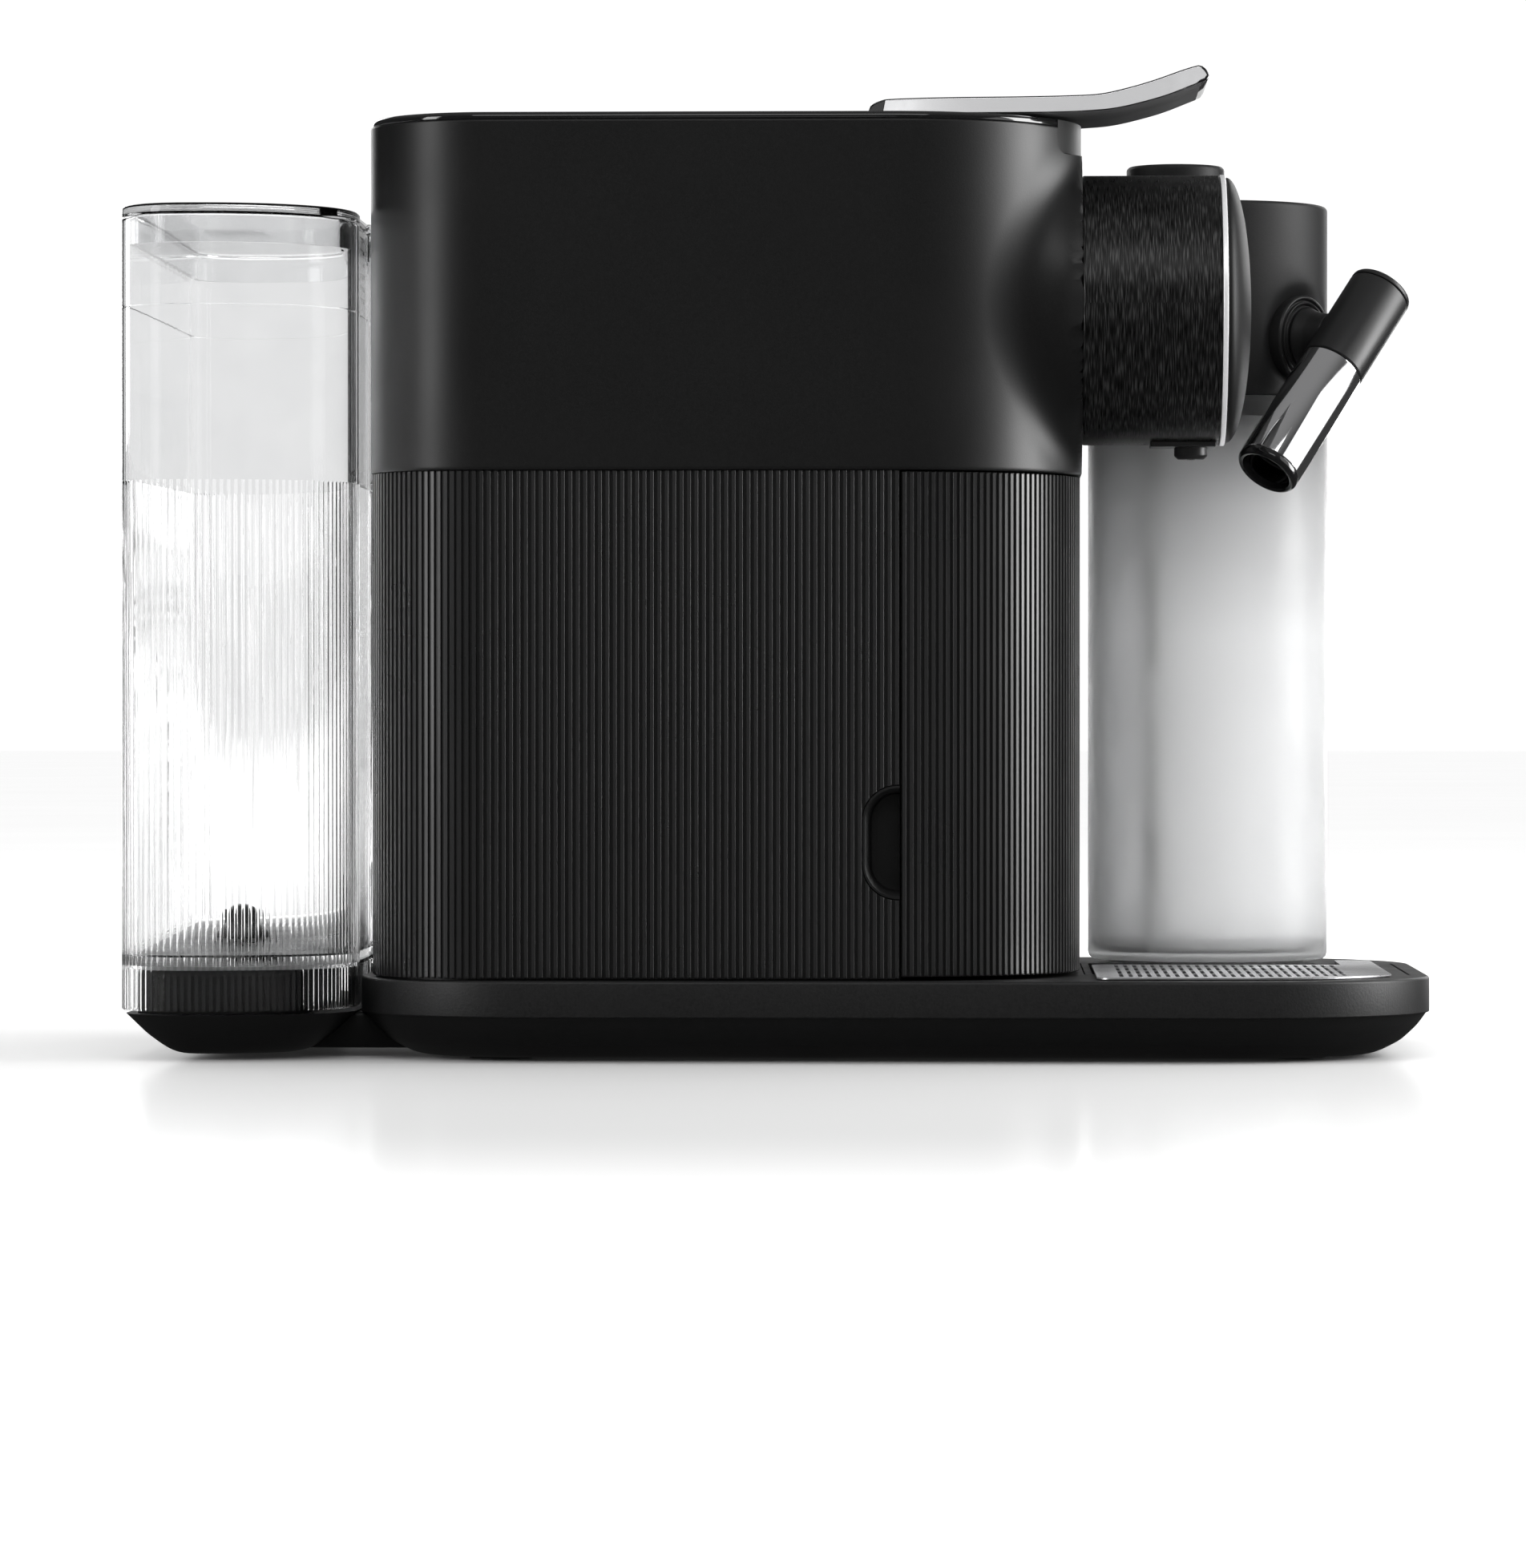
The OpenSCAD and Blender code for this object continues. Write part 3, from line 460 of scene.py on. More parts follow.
M["pcb"] = grain(mat("board_green", (0.01, 0.09, 0.03), 0.35), (0.01, 0.09, 0.03), 0.2, 300, 0.2, 0.00008, (0.3, 0.45))
M["seal_grey"] = grain(mat("silicone_seal", 0.12, 0.55), (0.12, 0.125, 0.13), 0.15, 900, 0.25, 0.00005, (0.5, 0.62))

# chrome with faint wipe marks
m = M["chrome"] = mat("polished_chrome", (0.78, 0.78, 0.79), 0.06, 1.0)
link(m, maprange(m, noise(m, 90, 4.0, 0.6), 0.04, 0.10, 0.3, 0.7), bsdf(m).inputs["Roughness"])
link(m, bump(m, noise(m, 260, 3.0, 0.5), 0.02, 0.00003), bsdf(m).inputs["Normal"])


def brushed(name, color, rough, axis, scale_along, scale_across, metallic=1.0, var=0.2, bump_s=0.25, aniso=0.6):
    """Metal brushed along one row axis."""
    m = mat(name, color, rough, metallic, Anisotropic=aniso)
    tc = nd(m, "ShaderNodeTexCoord")
    mp = nd(m, "ShaderNodeMapping")
    sc = [scale_across] * 3
    sc["XYZ".index(axis)] = scale_along
    mp.inputs["Scale"].default_value = sc
    link(m, tc.outputs["Object"], mp.inputs["Vector"])
    n = noise(m, 1.0, 4.0, 0.65, mp.outputs["Vector"])
    c = color if hasattr(color, "__len__") else (color, color, color)
    link(m, ramp(m, n, [(0.3, tuple(x * (1 - var) for x in c)), (0.7, tuple(min(1, x * (1 + var)) for x in c))]), bsdf(m).inputs["Base Color"])
    link(m, maprange(m, n, rough * 0.8, rough * 1.25, 0.3, 0.7), bsdf(m).inputs["Roughness"])
    link(m, bump(m, n, bump_s, 0.00004), bsdf(m).inputs["Normal"])
    tg = nd(m, "ShaderNodeTangent", direction_type="RADIAL", axis="Z")
    link(m, tg.outputs["Tangent"], bsdf(m).inputs["Tangent"])
    return m


M["steel"] = brushed("brushed_steel_plate", (0.60, 0.60, 0.61), 0.30, "X", 40, 2600, var=0.10)
M["alu"] = brushed("cast_aluminium", (0.62, 0.62, 0.64), 0.42, "X", 500, 500, var=0.1, aniso=0.0)
M["screw"] = brushed("zinc_screw", (0.55, 0.55, 0.57), 0.35, "Z", 200, 900, var=0.1, aniso=0.0)
M["brass"] = brushed("pump_brass", (0.70, 0.50, 0.20), 0.35, "X", 60, 900, var=0.12, aniso=0.3)

# black anodised barrel, brushed round its axis (streaks follow the circumference)
m = M["barrel"] = mat("brushed_black_barrel", 0.02, 0.34, 0.85, Anisotropic=0.65)
tc = nd(m, "ShaderNodeTexCoord")
sep = nd(m, "ShaderNodeSeparateXYZ"); link(m, tc.outputs["Object"], sep.inputs[0])
yy = nd(m, "ShaderNodeMath", operation="SUBTRACT"); link(m, sep.outputs["Y"], yy.inputs[0]); yy.inputs[1].default_value = HEAD_Y * MM
zz = nd(m, "ShaderNodeMath", operation="SUBTRACT"); link(m, sep.outputs["Z"], zz.inputs[0]); zz.inputs[1].default_value = BARREL_Z * MM
at = nd(m, "ShaderNodeMath", operation="ARCTAN2"); link(m, zz.outputs[0], at.inputs[0]); link(m, yy.outputs[0], at.inputs[1])
cb = nd(m, "ShaderNodeCombineXYZ")
sx = nd(m, "ShaderNodeMath", operation="MULTIPLY"); link(m, sep.outputs["X"], sx.inputs[0]); sx.inputs[1].default_value = 3000
sa = nd(m, "ShaderNodeMath", operation="MULTIPLY"); link(m, at.outputs[0], sa.inputs[0]); sa.inputs[1].default_value = 7
link(m, sx.outputs[0], cb.inputs[0]); link(m, sa.outputs[0], cb.inputs[1])
n = noise(m, 1.0, 1.0, 0.5, cb.outputs[0])
link(m, ramp(m, n, [(0.34, 0.008), (0.52, 0.024), (0.70, 0.085)]), bsdf(m).inputs["Base Color"])
link(m, maprange(m, n, 0.26, 0.42, 0.3, 0.7), bsdf(m).inputs["Roughness"])
link(m, bump(m, n, 0.12, 0.00004), bsdf(m).inputs["Normal"])
tg = nd(m, "ShaderNodeTangent", direction_type="RADIAL", axis="X")
link(m, tg.outputs["Tangent"], bsdf(m).inputs["Tangent"])


def clear(name, color, rough=0.02, ior=1.45, var=0.02, scale=60, bump_s=0.02):
    """Clear or tinted plastic with a faintly uneven surface."""
    m = mat(name, color, rough, Transmission_Weight=1.0, IOR=ior)
    n = noise(m, scale, 3.0, 0.5)
    c = color if hasattr(color, "__len__") else (color, color, color)
    link(m, ramp(m, n, [(0.3, tuple(x * (1 - var) for x in c)), (0.7, tuple(min(1.0, x * (1 + var)) for x in c))]), bsdf(m).inputs["Base Color"])
    link(m, maprange(m, n, rough * 0.7, rough * 1.3, 0.3, 0.7), bsdf(m).inputs["Roughness"])
    link(m, bump(m, n, bump_s, 0.00005), bsdf(m).inputs["Normal"])
    return m


M["tank"] = clear("clear_tank", (0.74, 0.743, 0.747), 0.0, 1.14)
M["tank_floor"] = clear("clear_tank_floor", (0.34, 0.342, 0.345), 0.35, 1.1)
bsdf(M["tank_floor"]).inputs["Transmission Weight"].default_value = 0.85
bsdf(M["tank_floor"]).inputs["Specular IOR Level"].default_value = 0.3
# clearer tint for the rib grooves and the inner wall; on the grooves it paints in the bright backlit stripes of the
# ribs
M["tank_clear"] = clear("clear_tank_painted_backlight", (0.99, 0.992, 0.995), 0.0, 1.14)
M["tank_lid"] = clear("smoky_lid", (0.92, 0.923, 0.926), 0.03, 1.3)
M["lid_rim"] = clear("smoky_lid_rim", (0.47, 0.473, 0.477), 0.03, 1.3)
M["jug"] = clear("smoked_container_painted_shade", (0.86, 0.863, 0.866), 0.42, 1.3, 0.004, 60, 0.004)
bsdf(M["tank"]).inputs["Transmission Weight"].default_value = 0.99
bsdf(M["jug"]).inputs["Transmission Weight"].default_value = 0.94
m = M["jug"]
tc = nd(m, "ShaderNodeTexCoord")
sep = nd(m, "ShaderNodeSeparateXYZ"); link(m, tc.outputs["Object"], sep.inputs[0])
# base colour darker towards the top
cz = ramp(m, maprange(m, sep.outputs["Z"], 0.0, 1.0, 0.120, 0.187), [(0.0, (0.80, 0.803, 0.806)), (0.55, (0.62, 0.622, 0.625)), (1.0, (0.30, 0.301, 0.302))])
# painted shade: darker on the low-X side, next to the machine
cx = ramp(m, maprange(m, sep.outputs["X"], 0.0, 1.0, 0.089, 0.135), [(0.0, 0.66), (1.0, 1.0)])
mm = nd(m, "ShaderNodeMix", data_type="RGBA", blend_type="MULTIPLY")
mm.inputs[0].default_value = 1.0
link(m, cz, mm.inputs[6]); link(m, cx, mm.inputs[7])
link(m, mm.outputs[2], bsdf(m).inputs["Base Color"])

DEFAULT = {"base_hull": "hull", "base_deck": "deck", "rubber_feet": "rubber", "hull_screws": "screw", "tank_plinth": "insert", "tank_dock_seal": "rubber",
           "tank_dock_pipe": "white_part", "lower_shell": "shell", "upper_shell": "shell", "tank_stop": "insert", "rear_panel": "shell", "top_cover": "gloss",
           "touch_panel": "gloss", "slot_frame": "insert", "cord_gland": "rubber", "brew_barrel": "barrel", "barrel_ring": "chrome", "barrel_face": "insert",
           "coffee_outlet": "spout_black", "milk_dock": "alu", "milk_dock_seal": "rubber", "brew_frame": "alu", "brew_plate": "steel", "thermoblock": "alu",
           "thermoblock_straps": "steel", "water_pump": "brass", "pump_mounts": "rubber", "flow_meter": "white_part", "control_board": "pcb", "board_posts": "insert",
           "water_hoses": "hose", "steam_hose": "hose", "lever_frame": "chrome", "lever_top": "gloss", "lever_underside": "lever_grey", "lever_end_cap": "gloss",
           "lever_pin": "steel", "brew_piston": "alu", "piston_seal": "rubber", "tank_body": "tank", "tank_valve": "insert", "tank_valve_spring": "screw",
           "tank_lid": "tank_lid", "drawer_front": "shell", "capsule_bin": "insert", "drip_pan": "deck", "drip_grid": "steel", "milk_container": "jug",
           "milk_head": "head", "milk_nozzle": "insert", "milk_suction_tube": "white_part", "container_gasket": "seal_grey", "boss_ring": "spout_black",
           "froth_knob": "head", "spout_body": "spout_black", "spout_cap": "spout_black", "spout_inner_tube": "spout_black", "spout_sleeve": "chrome", "spout_lip": "gloss"}
for n_, ob in NODES.items():
    me = ob.data
    me.materials.clear()
    me.materials.append(M[DEFAULT[n_]])

# --------------------------------------------------------------------------
# base: boat-shaped hull and deck
# --------------------------------------------------------------------------
def boat(name, x0, x1, hy, r0, r1, levels):
    """Outline lofted through (z, inset) levels with a smooth curve between them."""
    zs = np.array([l[0] for l in levels]); ins = np.array([l[1] for l in levels])
    o = Outline(x0, -hy, x1, hy, r0, r1)
    P, N = o.at(o.samples(7, 2.2))
    t = np.linspace(0, 1, 26)
    # monotone path through the levels, by chord length
    d = np.concatenate([[0], np.cumsum(np.hypot(np.diff(zs), np.diff(ins)))]); d /= d[-1]
    zz, ii = np.interp(t, d, zs), np.interp(t, d, ins)
    for _ in range(3):
        zz[1:-1] = (zz[:-2] + 2 * zz[1:-1] + zz[2:]) / 4
        ii[1:-1] = (ii[:-2] + 2 * ii[1:-1] + ii[2:]) / 4
    cx, cy = (x0 + x1) / 2, 0.0
    rings = []
    for z, i in zip(zz, ii):
        rr0, rr1 = max(r0 - i, 3), max(r1 - i, 3)
        oo = Outline(x0 + i, -hy + i, x1 - i, hy - i, rr0, rr1)
        s = []
        for qa, qb in zip(o.seg, oo.seg):
            nseg = max(1, int(math.ceil(qa[2] / (7 if qa[0] == "l" else 2.2))))
            s += [qb[1] + qb[2] * j / nseg for j in range(nseg)]
        rings.append(ring_z(oo.at(np.array(s))[0], z))
    v, f = loft_vf(rings)
    return v, f


v1, f1 = boat("a", DECK_X0 + 0.5, OX1 - 0.3, HW - 0.3, 50, 56, [(0.8, 20.5), (0.85, 16.5), (1.7, 13.4), (4.7, 7.6), (9, 3), (DECK_Z0 - 0.05, 0.4)])
v2, f2 = boat("b", OX0 + 0.8, -118.9, TY - 0.8, 20, 38, [(1.5, 21), (1.55, 17), (2.3, 13.6), (4, 10.6), (7.4, 6), (12.98, 0.3)])
v3, f3 = box_vf(-140, -100, -60, 60, 2.4, DECK_Z0 - 0.1)


def pits(feet_xy, screws_xy):
    """Foot recesses and screw wells of the hull."""
    out = []
    for x, y in feet_xy:
        vv, ff = lathe_vf([(-2, 0), (-2, 9.0), (1.62, 9.0), (1.62, 0)], 48)
        out.append(tool("foot_pit", vv + np.array([x, y, 0]), ff))
    for x, y in screws_xy:
        vv, ff = lathe_vf([(-2, 0), (-2, 3.4), (4.4, 3.4), (4.4, 0)], 32)
        out.append(tool("screw_pit", vv + np.array([x, y, 0]), ff))
    return out


hull = make("hull_shell", v1, f1, M["hull"], "machine", smooth=50, replaces=["base_hull"], slot="hull")
cut(hull, pits([(146, 58), (146, -58), (-78, 66), (-78, -66)], [(120, 72), (120, -72), (20, 76), (20, -76), (-70, 40), (-70, -40)]), smooth=40)
hull2 = make("hull_tank_foot", v2, f2, M["hull"], "machine", smooth=50, slot="hull")
cut(hull2, pits([], [(-158, 50), (-158, -50)]), smooth=40)
bevel(make("hull_bridge", v3, f3, M["hull"], "machine", slot="hull"), 1.2)

# deck: one slab with a soft top edge, opened for the tray
o = Outline(DECK_X0, -HW, OX1, HW, 50, 56)
P, N = o.at(o.samples(7, 1.6))
deck = plate("deck_slab", P, N, DECK_Z0, DECK_Z1, 0.9, M["deck"], "machine", r_low=0.35, replaces=["base_deck"], slot="deck")
cut(deck, [box_tool("t1", 86, 178, -45.3, 45.3, DECK_Z0 + 1.2, 30), box_tool("t2", 177, 190, -45.3, 45.3, 5, 30)], smooth=40)
# jug rest
P, N = rr(94, 56, 154, 92, 18, step_arc=1.5)
plate("jug_rest", P, N, DECK_Z1 - 0.5, 23.7, 0.5, M["deck"], "machine", slot="deck")

# --------------------------------------------------------------------------
# casing
# --------------------------------------------------------------------------
def smin(a, b, k):
    h = np.clip(k - np.abs(a - b), 0, None) / k
    return np.minimum(a, b) - h * h * k / 4


def d_round(x, y, x0, y0, x1, y1, r0, r1):
    """Distance to the casing outline, negative inside."""
    r = np.where(x > (x0 + x1) / 2, r1, r0)
    cx, cy = (x0 + x1) / 2, (y0 + y1) / 2
    qx = np.abs(x - cx) - ((x1 - x0) / 2 - r)
    qy = np.abs(y - cy) - ((y1 - y0) / 2 - r)
    return np.hypot(np.maximum(qx, 0), np.maximum(qy, 0)) + np.minimum(np.maximum(qx, qy), 0) - r


def field(x, y, z, k=16.0):
    db = d_round(x, y, BX0, -BY, BX1, BY, RR_, RF)
    rho = np.hypot(y - HEAD_Y, z - BARREL_Z) - (BARREL_R - 0.2) + 0.45 * np.clip(85 - x, 0, 40)
    dn = np.where(x < 60, np.hypot(np.maximum(rho, 0), 60 - x), rho)
    return smin(db, dn, k)


o = Outline(BX0, -BY, BX1, BY, RR_, RF)
ts = []
for q in o.seg:
    mid = q[1] + q[2] / 2
    pm, _ = o.at(np.array([mid]))
    near_front = (q[0] == "a" and pm[0][0] > 0 and pm[0][1] < 0)
    step = 0.9 if near_front else (2.2 if q[0] == "a" else 6.0)
    if q[0] == "l" and pm[0][0] > 80:
        step = 2.5
    n_ = max(1, int(math.ceil(q[2] / step)))
    ts += [q[1] + q[2] * i / n_ for i in range(n_)]
P, N = o.at(np.array(ts))
zs = [(SEAM + 0.02, 0.45), (SEAM + 0.16, 0.14), (SEAM + 0.45, 0.0)]
zs += [(z, 0.0) for z in np.arange(SEAM + 1.2, 260.4, 1.25)]
zs += [(260.6, 0.0), (260.85, 0.12), (261.0, 0.4)]
rings = []
for z, inset in zs:
    base = P - N * inset
    t = np.zeros(len(P))
    # march outwards to the surface of the blended field
    active = (P[:, 0] > 10) & (P[:, 1] < 0)
    if active.any():
        x, y = P[active, 0], P[active, 1]; nx, ny = N[active, 0], N[active, 1]
        tt = np.zeros(len(x))
        for _ in range(60):
            dval = field(x + nx * tt, y + ny * tt, z)
            tt = tt + np.clip(-dval, 0, None) * 0.9
        lim = np.where(nx > 1e-6, (BX1 - x) / np.maximum(nx, 1e-6), 1e3)
        lim = np.minimum(lim, np.where(ny < -1e-6, (-BY - y) / np.minimum(ny, -1e-6), 1e3))
        t[active] = np.minimum(tt, np.maximum(lim, 0))
    rings.append(ring_z(base + N * t[:, None], z))
inner = [ring_z(P - N * 2.5, 261.0), ring_z(P - N * 2.5, SEAM + 0.02)]
v, f = loft_vf(rings + inner, closed=True)
upper = make("upper_casing", v, f, M["shell"], "machine", smooth=50, replaces=["upper_shell"], slot="shell")


def slab_y_tool(name, pts, y0, y1):
    p = np.asarray(pts, float)
    r0 = np.column_stack([p[:, 0], np.full(len(p), y0), p[:, 1]])
    r1 = np.column_stack([p[:, 0], np.full(len(p), y1), p[:, 1]])
    v, f = loft_vf([r0, r1])
    return tool(name, v, f)


def slab_x_tool(name, pts, x0, x1):
    """pts are (y, z)."""
    p = np.asarray(pts, float)
    r0 = np.column_stack([np.full(len(p), x0), p[:, 0], p[:, 1]])
    r1 = np.column_stack([np.full(len(p), x1), p[:, 0], p[:, 1]])
    v, f = loft_vf([r0, r1])
    return tool(name, v, f)


def u_notch(y0, y1, z0, z1, r, n=8):
    """(y, z) outline of a notch, open at the top, with rounded lower corners."""
    pts = [(y0, z1)]
    pts += [(y0 + r - r * math.cos(a), z0 + r - r * math.sin(a)) for a in np.linspace(0, math.pi / 2, n)]
    pts += [(y1 - r + r * math.sin(a), z0 + r - r * math.cos(a)) for a in np.linspace(0, math.pi / 2, n)]
    pts += [(y1, z1)]
    return pts


vv, ff = lathe_vf([(0, 0), (0, 30), (60, 30), (60, 0)], 96)
brew_hole = tool("bh", place(vv, axis_frame((50, HEAD_Y, BARREL_Z), (1, 0, 0))), ff)
vv, ff = lathe_vf([(0, 0), (0, 9), (60, 9), (60, 0)], 48)
milk_hole = tool("mh", place(vv, axis_frame((60, 57, 215), (1, 0, 0))), ff)
notch = slab_x_tool("nt", u_notch(-70.3, -28.7, 253.5, 270, 3.2), 50, 100)
panel_cut = tool("pc", *box_vf(BX0 - 5, BX0 + 0.8, -62, 62, 213.7, 256.7))
cut(upper, [brew_hole, milk_hole, notch, panel_cut], smooth=50)

# front insert, flush with the casing, under the lever
Pf, Nf = o.at(np.array(ts))
sel = (Pf[:, 0] > 40) & (Pf[:, 1] < 5)
band = Pf[sel]; bn = Nf[sel]
outer = band - bn * 0.12
innr = band - bn * 12
poly = np.vstack([outer, innr[::-1]])
v, f = loft_vf([ring_z(poly, 245), ring_z(poly, COVER - 0.25)])
insert = make("front_insert", v, f, M["insert"], "machine", smooth=40, slot="dark_insert")
cut(insert, [slab_x_tool("ni", u_notch(-69.95, -29.05, 253.85, 270, 2.9), 50, 100)], op="INTERSECT", smooth=40)
cut(insert, [box_tool("ci", 52, 73.5, -68, -31, 230, 270)], smooth=40)

# ribbed lower shell: one continuous rib profile round the casing, split at the drawer
RO = Outline(BX0 + 0.4, -BY + 0.4, BX1 - 0.4, BY - 0.4, RR_ - 0.4, RF - 0.4)
NRIB = int(round(RO.L / 2.05))
PITCH = RO.L / NRIB
PROF = [(0.02, 0.0), (0.46, 0.0), (0.51, 0.10), (0.56, 0.52), (0.60, 0.58), (0.90, 0.58), (0.94, 0.50), (0.98, 0.10)]


def rib_strip(name, s0, s1, z0, z1, matr, body, **k):
    """Ribbed wall between two perimeter stations, 2.5 mm thick."""
    st, dp = [s0], [0.0]
    i0 = int(math.floor(s0 / PITCH)); i1 = int(math.ceil(s1 / PITCH))
    for i in range(i0, i1 + 1):
        for fr, de in PROF:
            s = (i + fr) * PITCH
            if s0 + 0.05 < s < s1 - 0.05:
                st.append(s); dp.append(de)
    st.append(s1); dp.append(0.0)
    st, dp = np.array(st), np.array(dp)
    P, N = RO.at(st)
    outer = P - N * dp[:, None]
    outer_c = P - N * (np.maximum(dp, 0.35))[:, None]
    inn = P - N * 2.5
    n = len(P)
    rings = [ring_z(inn, z0), ring_z(outer_c, z0), ring_z(outer, z0 + 0.35), ring_z(outer, z1 - 0.2), ring_z(outer_c, z1), ring_z(inn, z1)]
    v = np.concatenate(rings); f = []; fm_ = []
    m_ = len(rings)
    for a in range(m_):
        b = (a + 1) % m_
        for j in range(n - 1):
            f.append((a * n + j, a * n + j + 1, b * n + j + 1, b * n + j))
            # groove faces take the darker groove material: painted shade in the recesses
            fm_.append(1 if (a in (1, 2, 3) and max(dp[j], dp[j + 1]) > 0.3) else 0)
    f.append(tuple(a * n for a in range(m_)))
    f.append(tuple(a * n + n - 1 for a in reversed(range(m_))))
    return make(name, v, f, matr, body, smooth=30, mats=[matr, M["groove"]], fmat=fm_ + [0, 0], **k)


def station(x=None, y=None, lo=0.0, hi=None):
    """Perimeter station where the outline crosses a given X or Y, between lo and hi."""
    s = np.linspace(lo, hi if hi is not None else RO.L, 20001)
    P, _ = RO.at(s)
    d = np.abs(P[:, 0] - x) if x is not None else np.abs(P[:, 1] - y)
    return float(s[int(np.argmin(d))])


near_len = RO.seg[0][2]
s_dr0 = station(x=34.8, lo=0, hi=near_len + 60)
s_front0 = RO.seg[2][1]
s_dr1 = station(y=11.7, lo=s_front0, hi=s_front0 + RO.seg[2][2])
s_ls0 = station(y=12.0, lo=s_front0, hi=s_front0 + RO.seg[2][2])
s_ls1 = RO.L + station(x=34.5, lo=0, hi=near_len + 60)
lower = rib_strip("lower_casing", s_ls0, s_ls1, 23.4, SEAM, M["ribs"], "machine", replaces=["lower_shell"], slot="shell")
drawer = rib_strip("drawer_ribbed_front", s_dr0, s_dr1, 24.0, SEAM - 0.45, M["ribs"], "capsule_drawer", replaces=["drawer_front"], slot="shell")

FX0, FX1, FZ0, FZ1 = 23.9, 34.5, 45.1, 77.1


def d_shape(i, x1=None, n=10, r=10.0):
    x1 = FX1 + 1 if x1 is None else x1
    pts = [(x1, FZ0 + i), (x1, FZ1 - i)]
    pts += [(FX0 + r + (r - i) * math.cos(a), FZ1 - r + (r - i) * math.sin(a)) for a in np.linspace(math.pi / 2, math.pi, n)]
    pts += [(FX0 + r + (r - i) * math.cos(a), FZ0 + r + (r - i) * math.sin(a)) for a in np.linspace(math.pi, 1.5 * math.pi, n)]
    return pts


cut(lower, [slab_y_tool("dcut", d_shape(0.0), -110, -94)], smooth=30)
# cup of the finger recess: sloped rim, straight wall, flat floor
rows = [(0.05, -97.25), (0.35, -98.0), (0.9, -98.05), (2.0, -96.9), (2.3, -96.2), (2.3, -92.2), (2.7, -91.7), (4.0, -91.6)]
rings = []
for i, y in rows:
    p = np.array(d_shape(i, x1=FX1 - 0.05))
    rings.append(np.column_stack([p[:, 0], np.full(len(p), y), p[:, 1]]))
p = np.array(d_shape(4.0, x1=FX1 - 0.05)); rings.append(np.column_stack([p[:, 0], np.full(len(p), -90.0), p[:, 1]]))
p = np.array(d_shape(0.05, x1=FX1 - 0.05)); rings.append(np.column_stack([p[:, 0], np.full(len(p), -90.0), p[:, 1]]))
v, f = loft_vf(rings, cap0=False, cap1=False, closed=True)
# floor plate of the cup
n0 = len(v)
p = np.array(d_shape(3.9, x1=FX1 - 0.05))
fl = [np.column_stack([p[:, 0], np.full(len(p), y), p[:, 1]]) for y in (-91.62, -90.0)]
v2_, f2_ = loft_vf(fl)
v = np.vstack([v, v2_]); f = f + [tuple(i + n0 for i in q) for q in f2_]
make("finger_cup", v, f, M["insert"], "machine", smooth=40, slot="dark_insert")
# return flange behind the drawer's rear edge
v, f = box_vf(34.85, 37.3, -97.2, -91.2, 26, 162)
bevel(make("drawer_flange", v, f, M["shell"], "capsule_drawer", slot="shell"), 0.3)
# floor and partitions of the lower casing
pin, nin = RO.at(np.linspace(s_ls0, s_ls1, 260))
v, f = box_vf(-26, 82.3, 12.4, 14.3, 26.4, 160)
bevel(make("bay_wall", v, f, M["insert"], "machine", slot="shell"), 0.3)
v, f = box_vf(-26, -24, -94, 12.3, 26.4, 110)
bevel(make("bay_back", v, f, M["insert"], "machine", slot="shell"), 0.3)
o2 = Outline(BX0 + 2.9, -BY + 2.9, BX1 - 2.9, BY - 2.9, RR_ - 2.9, RF - 2.9)
P, N = o2.at(o2.samples(10, 3))
floor_ob = plate("casing_floor", P, N, 22.85, 26.4, 0.0, M["insert"], "machine", slot="shell")
cut(floor_ob, [box_tool("cf", 34.5, 100, -110, 12, 20, 30)], smooth=35)

# drawer bin
p_in = []
v, f = box_vf(-18, 100, -87, 10.5, 26.9, 118)
binb = make("capsule_bin_tub", v, f, M["insert"], "capsule_drawer", replaces=["capsule_bin"], slot="dark_insert")
o3 = Outline(BX0 + 3.0, -BY + 3.0, BX1 - 3.0, BY - 3.0, RR_ - 3.0, RF - 3.0)
P3, N3 = o3.at(o3.samples(10, 2))
cut(binb, [prism_tool("bi", P3, 20, 130)], op="INTERSECT", smooth=35)
o4 = Outline(BX0 + 5.0, -BY + 5.0, BX1 - 5.0, BY - 5.0, RR_ - 5.0, RF - 5.0)
P4, N4 = o4.at(o4.samples(10, 2))
inner_cut = prism_tool("bj", P4, 28.9, 140)
cut(inner_cut, [box_tool("bk", -16, 100, -85, 8.5, 28.9, 140)], op="INTERSECT")
cut(binb, [inner_cut], smooth=35)
bevel(binb, 0.5, 3, 40, 40)

# --------------------------------------------------------------------------
# top cover and touch panel
# --------------------------------------------------------------------------
o5 = Outline(BX0 + 0.15, -BY + 0.15, BX1 - 0.15, BY - 0.15, RR_ - 0.15, RF - 0.15)
P, N = o5.at(o5.samples(7, 1.6))


